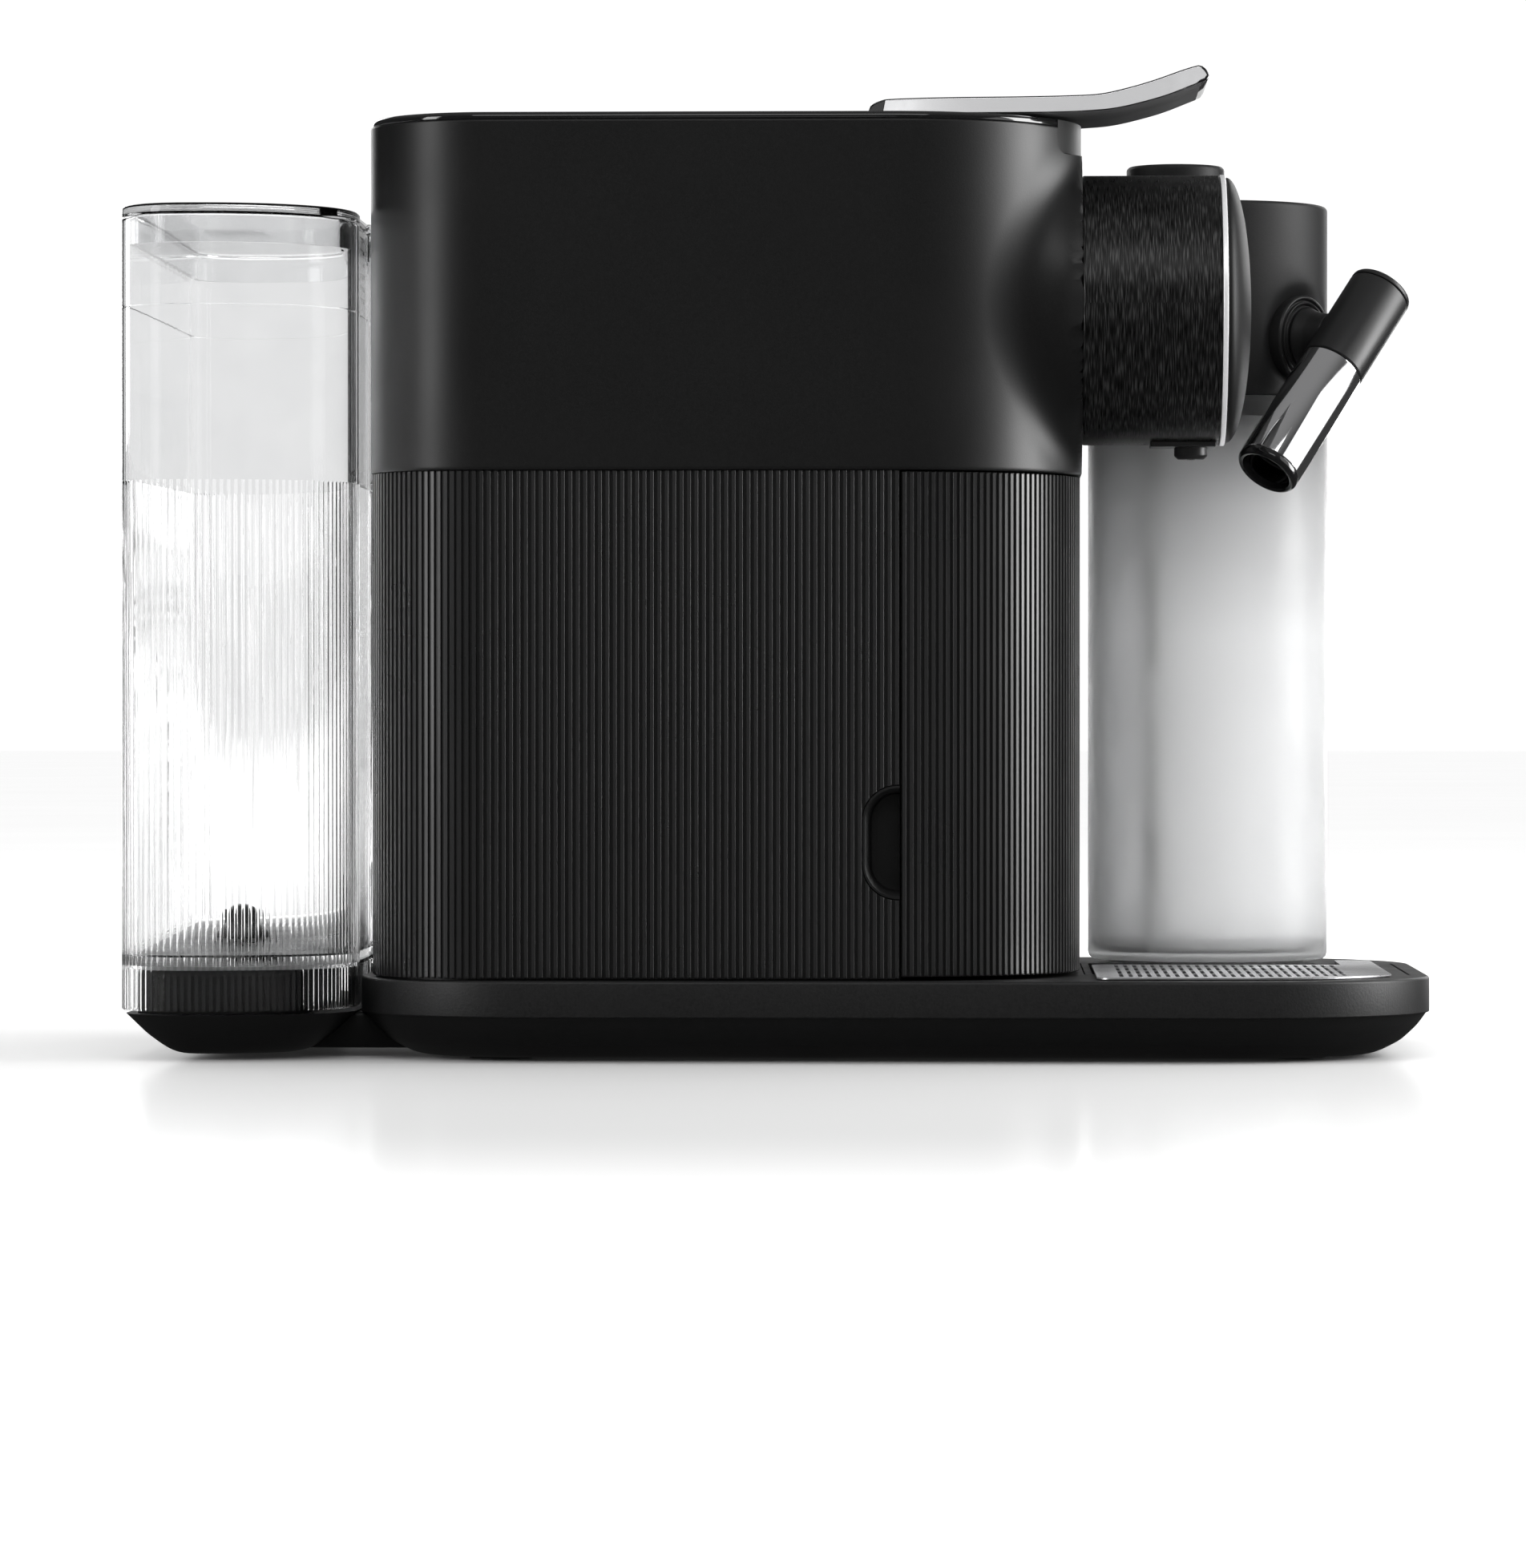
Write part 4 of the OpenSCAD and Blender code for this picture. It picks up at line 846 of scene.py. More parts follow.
def clipped(rect, inset):
    """The part of a rounded rectangle inside the casing's outline drawn in by inset, with its normals."""
    a = []
    for p_, q_ in zip(rect, np.roll(rect, -1, 0)):
        k_ = max(1, int(math.ceil(np.hypot(*(q_ - p_)) / 0.8)))
        a += [p_ + (q_ - p_) * i / k_ for i in range(k_)]
    a = np.array(a)
    o6 = Outline(BX0 + inset, -BY + inset, BX1 - inset, BY - inset, RR_ - inset, RF - inset)
    b = np.array(o6.at(o6.samples(2, 0.6))[0])

    def within(p_, ring):
        e, v = np.roll(ring, -1, 0) - ring, p_ - ring
        c_ = e[:, 0] * v[:, 1] - e[:, 1] * v[:, 0]
        return bool((c_ > -1e-9).all() or (c_ < 1e-9).all())

    pts = np.array([p_ for p_ in a if within(p_, b)] + [p_ for p_ in b if within(p_, a)])
    d = pts - pts.mean(0)
    pts = pts[np.argsort(np.arctan2(d[:, 1], d[:, 0]))]
    keep = np.hypot(*(pts - np.roll(pts, 1, 0)).T) > 0.05
    pts = pts[keep]
    t = np.roll(pts, -1, 0) - np.roll(pts, 1, 0)
    t /= np.hypot(t[:, 0], t[:, 1])[:, None]
    return pts, np.stack([t[:, 1], -t[:, 0]], 1)


cover = plate("top_cover_plate", P, N, 261.02, COVER, 1.5, M["gloss"], "machine", r_low=0.3, seg=6, replaces=["top_cover"], slot="gloss_black", smooth=50)
Pt, Nt = clipped(np.array(rr(18, -4, 74, 84, 3, step_arc=0.6)[0]), 1.8)
cut(cover, [box_tool("k1", 21, 42, -80.1, -18.9, 255, 270), box_tool("k2", 41, 100, -70.15, -28.85, 255, 270), prism_tool("k3", Pt, COVER - 1, 270)], smooth=50)
Pt, Nt = clipped(np.array(rr(18.15, -3.85, 73.85, 83.85, 2.9, step_arc=0.6)[0]), 1.95)
plate("touch_glass", Pt, Nt, COVER - 1, COVER - 0.02, 0.25, M["gloss"], "machine", replaces=["touch_panel"], slot="gloss_black", smooth=50)
mk = M["mark"] = grain(mat("touch_marks", 0.4, 0.5), (0.42, 0.42, 0.42), 0.08, 400, 0.05, 0.00002, (0.45, 0.55))
vs, fs = [], []
for iy in range(3):
    for ix in range(2):
        cx, cy = 33 + ix * 26, 12 + iy * 28
        vv, ff = lathe_vf([(0, 4.6), (0.05, 4.6), (0.05, 5.0), (0, 5.0)], 48, closed=True)
        fs += [tuple(i + len(vs) for i in q) for q in ff]
        vs += [tuple(p) for p in (vv + np.array([cx, cy, COVER - 0.03]))]
make("touch_rings", vs, fs, mk, "machine", slot="gloss_black")

# --------------------------------------------------------------------------
# brew head
# --------------------------------------------------------------------------
XD = (1, 0, 0)
R = BARREL_R
prof = fillet_profile([(0, R - 3), (0, R - 0.35), (0.5, R), (38.3, R), (38.8, R - 0.5), (38.8, R - 3)], [0, 0.2, 0.3, 0.3, 0.2, 0], 3)
barrel = lathe("barrel_tube", prof, (BX1, HEAD_Y, BARREL_Z), XD, M["barrel"], "machine", n=224, closed=True, replaces=["brew_barrel"], slot="brushed_black", smooth=30)
vv, ff = lathe_vf([(0, 0), (0, 4.9), (14, 4.9), (14, 0)], 48)
cut(barrel, [tool("oh", vv + np.array([116, HEAD_Y, 165]), ff)], smooth=30)
# closing wall inside the barrel's root
prof = [(0, 30), (0, R - 3), (2.8, R - 3), (2.8, 30)]
lathe("barrel_root", prof, (BX1 + 0.02, HEAD_Y, BARREL_Z), XD, M["insert"], "machine", n=96, closed=True)
prof = fillet_profile([(0, R - 5), (0, R + 0.05), (0.15, R + 0.2), (1.25, R + 0.2), (1.4, R + 0.05), (1.4, R - 5)], [0, 0.1, 0.1, 0.1, 0.1, 0], 2)
M["ring"] = grain(mat("satin_ring", 0.8, 0.35, 0.55), (0.80, 0.80, 0.81), 0.03, 1500, 0.05, 0.00002, (0.32, 0.40))
lathe("barrel_bright_ring", prof, (124, HEAD_Y, BARREL_Z), XD, M["ring"], "machine", n=224, closed=True, replaces=["barrel_ring"], slot="chrome", smooth=40)
m = M["dome"] = grain(mat("satin_dome", 0.010, 0.5, Specular_IOR_Level=0.22), (0.005, 0.005, 0.0051), 0.25, 2300, 0.4, 0.00006, (0.46, 0.54))
prof = [(0, 0), (0, R - 0.9)]
for a in np.linspace(0, math.pi / 2, 40):
    rr_ = (R - 0.6) * math.cos(a)
    prof.append((0.4 + 7.1 * math.sin(a) ** 1.0, rr_ if a < math.pi / 2 - 1e-6 else 0))
lathe("barrel_dome", prof, (125.4, HEAD_Y, BARREL_Z), XD, M["dome"], "machine", n=160, replaces=["barrel_face"], slot="dark_insert", smooth=50)

prof = fillet_profile([(0, 0), (0, 3.6), (1.0, 4.7), (9.0, 4.7), (9.0, 0)], [0, 0.3, 0.3, 0.1, 0], 3)
outlet = lathe("coffee_spout", prof, (116, HEAD_Y, 168.5), (0, 0, 1), M["spout_black"], "machine", n=64, replaces=["coffee_outlet"], slot="gloss_black", smooth=35)
cs = []
for s in (-1, 1):
    vv, ff = lathe_vf([(0, 0), (0, 1.2), (7, 1.2), (7, 0)], 24)
    cs.append(tool("co", vv + np.array([116, HEAD_Y + s * 1.9, 166]), ff))
cut(outlet, cs, smooth=35)
v, f = box_vf(104.5, 122.9, HEAD_Y - 8, HEAD_Y + 8, 171.9, 173.4)
bevel(make("outlet_pad", v, f, M["spout_black"], "machine", slot="gloss_black"), 0.3)
lathe("coffee_duct", [(0, 0), (0, 3), (34.5, 3), (34.5, 0)], (84.5, HEAD_Y, 187), XD, M["white_part"], "machine", n=32, slot="gloss_black")

# --------------------------------------------------------------------------
# lever
# --------------------------------------------------------------------------
TOP = np.array([(25.3, 264), (26.0, 266.2), (28.9, 267.7), (32.5, 268.2), (47, 268.6), (68.9, 268.8), (83.4, 269.1), (90.6, 269.6), (97.9, 271.2), (105.1, 273.3), (112.5, 275.9), (116.1, 277.0), (117.9, 277.25), (119.6, 276.0), (120.3, 274.4)])
BOT = np.array([(25.3, 264), (28.9, 264), (54.3, 264.1), (76.1, 264.2), (87, 264.6), (94.3, 265.3), (101.6, 266.9), (108.9, 269.0), (116.1, 271.8), (119.4, 273.1)])


def smooth_curve(pts, n):
    """Catmull-Rom through the points, resampled evenly to n."""
    p = np.vstack([2 * pts[0] - pts[1], pts, 2 * pts[-1] - pts[-2]])
    out = []
    for i in range(1, len(p) - 2):
        for t in np.linspace(0, 1, 12, endpoint=False):
            a, b, c, d = p[i - 1], p[i], p[i + 1], p[i + 2]
            out.append(0.5 * ((2 * b) + (-a + c) * t + (2 * a - 5 * b + 4 * c - d) * t ** 2 + (-a + 3 * b - 3 * c + d) * t ** 3))
    out.append(pts[-1])
    out = np.array(out)
    s = np.concatenate([[0], np.cumsum(np.linalg.norm(np.diff(out, axis=0), axis=1))])
    q = np.linspace(0, s[-1], n)
    return np.column_stack([np.interp(q, s, out[:, 0]), np.interp(q, s, out[:, 1])])


top_c = smooth_curve(TOP, 90)
bot_c = smooth_curve(BOT, 70)
lever_poly = np.vstack([top_c, bot_c[::-1][:-1]])


def poly_inset(poly, d):
    """Moves a closed outline inwards by d (or by one value per point)."""
    nx = np.roll(poly, -1, 0) - np.roll(poly, 1, 0)
    nrm = np.column_stack([-nx[:, 1], nx[:, 0]])
    nrm /= np.maximum(np.linalg.norm(nrm, axis=1), 1e-9)[:, None]
    area = 0.5 * np.sum(poly[:, 0] * np.roll(poly[:, 1], -1) - np.roll(poly[:, 0], -1) * poly[:, 1])
    if area < 0:
        nrm = -nrm
    d = np.asarray(d, float)
    return poly + nrm * (d[:, None] if d.ndim else d)


def slab_y(name, poly, y0, y1, r, matr, body, seg=3, hold=0.0, **k):
    """A slab of (x, z) outline along Y with rounded side edges; hold keeps the sides flat."""
    rings = []
    if hold:
        p = poly_inset(poly, r + hold)
        rings.append(np.column_stack([p[:, 0], np.full(len(p), y0), p[:, 1]]))
    for i in range(seg + 1):
        a = math.pi / 2 * i / seg
        p = poly_inset(poly, r * (1 - math.sin(a)))
        rings.append(np.column_stack([p[:, 0], np.full(len(p), y0 + r * (1 - math.cos(a))), p[:, 1]]))
    for i in range(seg, -1, -1):
        a = math.pi / 2 * i / seg
        p = poly_inset(poly, r * (1 - math.sin(a)))
        rings.append(np.column_stack([p[:, 0], np.full(len(p), y1 - r * (1 - math.cos(a))), p[:, 1]]))
    if hold:
        p = poly_inset(poly, r + hold)
        rings.append(np.column_stack([p[:, 0], np.full(len(p), y1), p[:, 1]]))
    v, f = loft_vf(rings)
    return make(name, v, f, matr, body, **k)


core = slab_y("lever_core", lever_poly, LY0 + 0.25, LY1 - 0.25, 0.35, M["gloss"], "lever", hold=0.15, replaces=["lever_top", "lever_end_cap"], slot="gloss_black", smooth=50)
# bright side plates, set in from the top and the tip by a dark margin
inset_d = np.where(np.arange(len(lever_poly)) < len(top_c), 0.38, 0.10)
tipish = lever_poly[:, 0] > 117.5
inset_d = np.where(tipish, 0.55, inset_d)
plate_poly = poly_inset(lever_poly, inset_d)
plate_poly = plate_poly[plate_poly[:, 0] > 29.3]
head = np.array([[29.3, 264.25]] + [[29.3 + 0.25, z] for z in (265.2, 266.6)])
plate_poly = np.vstack([plate_poly, head[:1]])
order = np.argsort(np.arange(len(plate_poly)))
plate_poly = plate_poly[order]
for nm, a, b in (("lever_side_near", LY0, LY0 + 0.9), ("lever_side_far", LY1 - 0.9, LY1)):
    slab_y(nm, plate_poly, a, b, 0.12, M["chrome"], "lever", seg=2, hold=0.06, replaces=["lever_frame"] if nm.endswith("near") else (), slot="chrome", smooth=40)
# dark grey underside panel
sel = (bot_c[:, 0] > 36) & (bot_c[:, 0] < 118.3)
bl = bot_c[sel]
under_poly = np.vstack([bl + np.array([0, 0.25]), (bl - np.array([0, 0.12]))[::-1]])
slab_y("lever_under_panel", under_poly, LY0 + 0.7, LY1 - 0.7, 0.1, M["lever_grey"], "lever", seg=2, replaces=["lever_underside"], slot="lever_grey", smooth=40)
# hub and crank below the lever
vv, ff = lathe_vf([(0, 1.55), (0, 4), (55.6, 4), (55.6, 1.55)], 64, closed=True)
hub_v = place(vv, axis_frame((31, LY0 + 0.2, 260.5), (0, 1, 0)))
make("lever_hub", hub_v, ff, M["insert"], "lever", slot="dark_insert")
v, f = box_vf(29.2, 34.6, LY0 + 1.2, LY1 - 1.2, 262.5, 264.2)
bevel(make("lever_root", v, f, M["insert"], "lever", slot="dark_insert"), 0.3)
c, s = math.cos(math.radians(-150)), math.sin(math.radians(-150))
cr = [(3.2, -3.5), (21, -3.5), (21, 3.5), (3.2, 3.5)]
pl = np.array([(31 + a * c - b * s, 260.5 + a * s + b * c) for a, b in cr])
crank = slab_y("lever_crank", pl, -51.5, -47.5, 0.3, M["steel"], "lever", seg=2, slot="steel")

# --------------------------------------------------------------------------
# water tank
# --------------------------------------------------------------------------
def tank_path(i, n=14):
    """Plan of the tank at inset i, as in the CAD, with the steps of the recess."""
    def arc(cx, cy, r, a0, a1, k):
        return [(cx + r * math.cos(math.radians(a0 + (a1 - a0) * j / k)), cy + r * math.sin(math.radians(a0 + (a1 - a0) * j / k))) for j in range(k + 1)]
    h = arc(OX0 + 20, -TY + 20, 20 - i, 180, 270, n) + arc(TX1 - 40, -TY + 40, 40 - i, -90, 0, n * 2)
    h += [(TX1 - i, -52 - i), (TX1 - 1.2 - i, -51 - i), (TX1 - 1.2 - i, -9 + i), (TX1 - i, -8 + i)]
    return h + [(x, -y) for x, y in h[::-1]]


def resample(pts, step):
    """Even stations on a closed path; corners of the path are kept."""
    p = np.array(pts + [pts[0]], float)
    out = []
    for a, b in zip(p[:-1], p[1:]):
        l = np.linalg.norm(b - a)
        k = max(1, int(round(l / step)))
        out += [a + (b - a) * j / k for j in range(k)]
    return np.array(out)


def normals2(p):
    t = np.roll(p, -1, 0) - np.roll(p, 1, 0)
    n = np.column_stack([t[:, 1], -t[:, 0]])
    return n / np.maximum(np.linalg.norm(n, axis=1), 1e-9)[:, None]


# dense path for the ribs: rib profile along the length of the tank's outline
tp = np.array(tank_path(0.0, 24) + [tank_path(0.0, 24)[0]])
seg_l = np.linalg.norm(np.diff(tp, axis=0), axis=1)
S = np.concatenate([[0], np.cumsum(seg_l)])
NT = int(round(S[-1] / 2.0))
tpitch = S[-1] / NT
TPROF = [(0.0, 0.0), (0.10, 0.0), (0.30, 0.0), (0.50, 0.0), (0.56, 0.26), (0.62, 0.34), (0.88, 0.34), (0.94, 0.26)]
st = np.array([(i + a) * tpitch for i in range(NT) for a, _ in TPROF])
dp = np.array([d for i in range(NT) for _, d in TPROF])
tx = np.interp(st, S, tp[:, 0]); ty_ = np.interp(st, S, tp[:, 1])
TP = np.column_stack([tx, ty_])
TNn = normals2(TP)
inner_path = TP - TNn * 2.0
# the inner wall above is a plain 2 mm offset, not corrected where it may fold at the steps of the recess
RIB_Z = 161.7
RIM = 235.2
rings = []
outer_rib = TP - TNn * dp[:, None]
rings.append(ring_z(TP - TNn * 0.4, 14.0))
rings.append(ring_z(outer_rib, 14.4))
rings.append(ring_z(outer_rib, RIB_Z - 0.25))
rings.append(ring_z(TP, RIB_Z))
for z in (190.0, 210.15):
    rings.append(ring_z(TP, z))
rings.append(ring_z(TP - TNn * 0.12, 210.3))
rings.append(ring_z(TP, 210.45))
rings.append(ring_z(TP, RIM - 0.5))
rings.append(ring_z(TP - TNn * 0.4, RIM))
rings.append(ring_z(inner_path + TNn * 0.3, RIM))
rings.append(ring_z(inner_path, RIM - 0.4))
rings.append(ring_z(inner_path, 31.0))
rings.append(ring_z(inner_path - TNn * 0.6, 29.6))
top_in = len(rings)
v_a = np.concatenate(rings)
n = len(TP); f = []; tmat = []
for a in range(len(rings) - 1):
    for j in range(n):
        k = (j + 1) % n
        f.append((a * n + j, a * n + k, (a + 1) * n + k, (a + 1) * n + j))
        # rib-groove faces and the inner wall take the clearer tint, which paints in the backlit stripes of the ribs
        tmat.append(1 if (a >= 9 or (a in (0, 1, 2) and max(dp[j], dp[k]) > 0.2)) else 0)
# floor top, then the underside: skirt inner wall and floor bottom
base_i = len(v_a)
fl = ring_z(inner_path - TNn * 1.6, 29.0)
under = [ring_z(inner_path - TNn * 1.0, 26.4), ring_z(inner_path, 25.4), ring_z(inner_path, 14.0)]
v_a = np.vstack([v_a, fl] + under)
a0 = (top_in - 1) * n
for j in range(n):
    k = (j + 1) % n
    f.append((a0 + j, a0 + k, base_i + k, base_i + j))
tmat += [1] * n
f.append(tuple(base_i + j for j in range(n)))
u0 = base_i + n
f.append(tuple(u0 + j for j in reversed(range(n))))
tmat += [2, 2]
for a in range(2):
    for j in range(n):
        k = (j + 1) % n
        f.append((u0 + a * n + j, u0 + a * n + k, u0 + (a + 1) * n + k, u0 + (a + 1) * n + j))
for j in range(n):
    k = (j + 1) % n
    f.append((u0 + 2 * n + j, u0 + 2 * n + k, k, j))
tmat += [1] * (len(f) - len(tmat))
make("tank_ribbed", v_a, f, M["tank"], "water_tank", smooth=30, replaces=["tank_body"], slot="tank", mats=[M["tank"], M["tank_clear"], M["tank_floor"]], fmat=tmat)

# smoky lid: thin rim, plug wall that shows through the clear wall
lp = resample(tank_path(0.0, 24), 3.0); ln = normals2(lp)
rings = [ring_z(lp - ln * 2.4, 227.6), ring_z(lp - ln * 2.4, 235.3), ring_z(lp - ln * 0.3, 235.62), ring_z(lp + ln * 0.0, 235.9), ring_z(lp, 237.6), ring_z(lp - ln * 0.35, 238.15), ring_z(lp - ln * 1.1, 238.4),
         ring_z(lp - ln * 2.6, 238.4), ring_z(lp - ln * 3.2, 238.0), ring_z(lp - ln * 3.4, 237.6)]
nn = len(lp)
v = np.concatenate(rings); f = []; lmat = []
for a in range(len(rings) - 1):
    for j in range(nn):
        k = (j + 1) % nn
        f.append((a * nn + j, a * nn + k, (a + 1) * nn + k, (a + 1) * nn + j))
        lmat.append(1 if a >= 1 else 0)
f.append(tuple((len(rings) - 1) * nn + j for j in range(nn)))
more = [ring_z(lp - ln * 4.2, 227.6), ring_z(lp - ln * 4.2, 235.6)]
b0 = len(v)
v = np.vstack([v] + more)
for j in range(nn):
    k = (j + 1) % nn
    f.append((b0 + j, b0 + k, k, j))
    f.append((b0 + nn + j, b0 + nn + k, b0 + k, b0 + j))
f.append(tuple(b0 + nn + j for j in reversed(range(nn))))
lmat += [0] * (len(f) - len(lmat))
make("tank_lid_shell", v, f, M["tank_lid"], "tank_cover", smooth=40, replaces=["tank_lid"], slot="tank_lid", mats=[M["tank_lid"], M["lid_rim"]], fmat=lmat)
P, N = rr(-168, -16, -150, 16, 4, step_arc=0.8)
plate("lid_grip", P, N, 237.7, 238.35, 0.3, M["tank_lid"], "tank_cover", slot="tank_lid")

# tank plinth inside the skirt, with a rounded shoulder
P, N = rr(-179.5, -90, -131, 90, 16, 20, step_arc=1.6)
pl = plate("plinth_block", P, N, 13.0, 26.0, 2.6, M["plinth"], "machine", seg=6, replaces=["tank_plinth"], slot="dark_insert", smooth=50)
vv, ff = lathe_vf([(0, 0), (0, 8.2), (20, 8.2), (20, 0)], 48)
cut(pl, [tool("vh", vv + np.array([-158, 0, 12.0]), ff)], smooth=50)

# valve in the tank floor: cone-shouldered base, ribbed dome, cup below the floor
prof = fillet_profile([(0, 0), (0, 7.9), (1.6, 7.8), (3.9, 5.2), (4.5, 4.7), (7.6, 4.5), (9.4, 3.0), (9.9, 0)], [0, 0.3, 0.6, 0.5, 0.5, 1.6, 1.0, 0], 5)
lathe("valve_dome", prof, (-158, 0, 29.05), (0, 0, 1), M["spout_black"], "water_tank", n=96, replaces=["tank_valve"], slot="dark_insert", smooth=40)
vs, fs = [], []
for k in range(8):
    a = 2 * math.pi * k / 8
    v_, f_ = box_vf(4.2, 5.1, -0.45, 0.45, 3.2, 8.2)
    v_ = np.array(v_)
    v_ = np.column_stack([v_[:, 0] * math.cos(a) - v_[:, 1] * math.sin(a) - 158, v_[:, 0] * math.sin(a) + v_[:, 1] * math.cos(a), v_[:, 2] + 29.05])
    fs += [tuple(i + len(vs) for i in q) for q in f_]
    vs += [tuple(p) for p in v_]
make("valve_ribs", vs, fs, M["spout_black"], "water_tank", slot="dark_insert")
prof = fillet_profile([(0, 3.6), (0, 7.6), (5.3, 7.6), (5.3, 4.9), (8.0, 4.9), (8.0, 3.6)], 0.3, 2)
lathe("valve_cup", prof, (-158, 0, 21.0), (0, 0, 1), M["spout_black"], "water_tank", n=64, closed=True, slot="dark_insert", smooth=40)

# --------------------------------------------------------------------------
# drip tray
# --------------------------------------------------------------------------
gp = Outline(89, -92, 172, 15, 4, 4)
oD = Outline(DECK_X0 + 9, -HW + 9, OX1 - 9, HW - 9, 41, 47)
PD, ND = oD.at(oD.samples(7, 1.2))
gz0, gz1 = 23.1, 23.6
P, N = rr(89, -92, 172, 14.5, 4.5, step_arc=0.5)
grid = plate("tray_plate", P, N, gz0, gz1, 0.15, M["steel"], "drip_tray", seg=2, replaces=["drip_grid"], slot="steel", smooth=35)
P2, N2 = rr(161.5, -60, 172, 51.5, 3.0, step_arc=0.5)
cut(grid, [prism_tool("tb", P2, gz0 + 0.001, gz1 - 0.001)], op="UNION")
cut(grid, [prism_tool("td", PD, 10, 40)], op="INTERSECT")
slots = []
vs, fs = [], []
x = 96.0
while x < 158.5:
    for (ya, yb) in ((-84, -62), (-59, -37), (-34, -12), (-9, 9)):
        # keep the slots inside the rounded corner of the plate
        lim = 1e9
        if ya < -60 and x > 140:
            ya = ya + (x - 140) * 0.55
        n_ = len(vs)
        ring_ = []
        for (cx, cy, a0) in ((x, ya + 0.6, math.pi), (x, yb - 0.6, 0.0)):
            for a in np.linspace(a0, a0 + math.pi, 5):
                ring_.append((cx + 0.6 * math.cos(a), cy + 0.6 * math.sin(a)))
        ring_ = np.array(ring_)
        v_, f_ = loft_vf([ring_z(ring_, 22.0), ring_z(ring_, 25.0)])
        fs += [tuple(i + n_ for i in q) for q in f_]
        vs += [tuple(p) for p in v_]
    x += 2.6
cut(grid, [tool("slots", vs, fs)], smooth=35)
# pan below, with its front rim
v, f = box_vf(86.4, 178.2, -45, 45, 14.3, 22.8)
pan = make("pan_tub", v, f, M["deck"], "drip_tray", replaces=["drip_pan"], slot="deck")
cut(pan, [box_tool("pc1", 88.4, 170, -43, 43, 15.9, 30)], smooth=35)
o6 = Outline(DECK_X0, -HW, OX1, HW, 50, 56)
P6, N6 = o6.at(o6.samples(7, 1.2))
rim = plate("pan_front_rim", P6, N6, 13.1, DECK_Z1, 0.9, M["deck"], "drip_tray", r_low=0.35, slot="deck")
cut(rim, [box_tool("pr", 177.6, 200, -45.0, 45.0, 0, 40)], op="INTERSECT", smooth=40)

# --------------------------------------------------------------------------
# milk jug
# --------------------------------------------------------------------------
o7 = Outline(JX0, JY0, JX1, JY1, JR, JR)
P, N = o7.at(o7.samples(2.0, 1.5))
w = 2.0
rings = [ring_z(P - N * 3.0, 24.0), ring_z(P - N * 1.2, 24.25), ring_z(P - N * 0.35, 24.9), ring_z(P, 26.0)]
rings += [ring_z(P, z) for z in np.linspace(30, 188, 18)]
rings += [ring_z(P - N * 0.15, 189.7), ring_z(P - N * 0.5, 190.0), ring_z(P - N * (w - 0.3), 190.0), ring_z(P - N * w, 189.7)]
rings += [ring_z(P - N * w, z) for z in np.linspace(186, 32, 8)]
rings += [ring_z(P - N * (w + 0.5), 28.5), ring_z(P - N * (w + 2.0), 26.9), ring_z(P - N * (w + 4), 26.5)]
v, f = loft_vf(rings)
make("jug_container", v, f, M["jug"], "milk_jug", smooth=45, replaces=["milk_container"], slot="jug")

# head: satin box with a smooth dish round the spout boss
P, N = o7.at(o7.samples(1.3, 0.9))
zs = [(190.12, 0.45), (190.3, 0.12), (190.7, 0.0)] + [(z, 0.0) for z in np.arange(191.8, 245.0, 1.1)]
for a in np.linspace(0, math.pi / 2, 7):
    zs.append((245.6 + 1.4 * math.sin(a), 1.4 * (1 - math.cos(a))))
rings = []
for z, inset in zs:
    q = np.column_stack([P, np.full(len(P), z)])
    rel = q - B0
    al = rel @ BDIR
    perp = rel - al[:, None] * BDIR
    hz = np.hypot(perp[:, 0], perp[:, 1]); vz = np.abs(perp[:, 2])
    facing = (N @ BDIR[:2]) > 0.2
    rho = np.sqrt((hz / 21.5) ** 2 + (vz / 17.5) ** 2)
    t = np.clip((1.0 - rho) / 0.62, 0, 1)
    dish = np.where(facing & (rho < 1.0), (t * t * (3 - 2 * t)) * (3.6 - 0.0), 0.0)
    # inside the dish the floor is flat, square to the boss
    flat = np.where(facing & (rho < 1.0), np.maximum(0, al + 3.6) * (t * t * (3 - 2 * t)), 0.0)
    move = np.where(facing, np.maximum(np.minimum(dish, 9), 0), 0)
    off = -BDIR[None, :2] * (flat)[:, None]
    rings.append(np.column_stack([P - N * inset + off, np.full(len(P), z)]))
v, f = loft_vf(rings)
mh = make("head_casing", v, f, M["head"], "milk_jug", smooth=55, replaces=["milk_head"], slot="head")
cutters = []
Pi = P - N * 9
cutters.append(prism_tool("hi", Pi, 180, 228))
vv, ff = lathe_vf([(0, 0), (0, 15.0), (6, 15.0), (6, 0)], 96)
cutters.append(tool("hk", vv + np.array([114.5, 55, 246.0]), ff))
vv, ff = lathe_vf([(0, 0), (0, 9.0), (20, 9.0), (20, 0)], 64)
cutters.append(tool("hb", place(vv, axis_frame(B0 - 16 * BDIR, BDIR)), ff))
pill = [(124 - 1.35 + 0, 241.6)]
pl_ = [(130 + 1.35 * math.cos(a), 241.6 + 1.35 * math.sin(a)) for a in np.linspace(-math.pi / 2, math.pi / 2, 10)] + [(118 + 1.35 * math.cos(a), 241.6 + 1.35 * math.sin(a)) for a in np.linspace(math.pi / 2, 1.5 * math.pi, 10)]
cutters.append(slab_y_tool("hp", pl_, 5, 21.5))
vv, ff = lathe_vf([(0, 0), (0, 5.6), (12, 5.6), (12, 0)], 48)
cutters.append(tool("hn", place(vv, axis_frame((86, 57, 215), (1, 0, 0))), ff))
cut(mh, cutters, smooth=50)
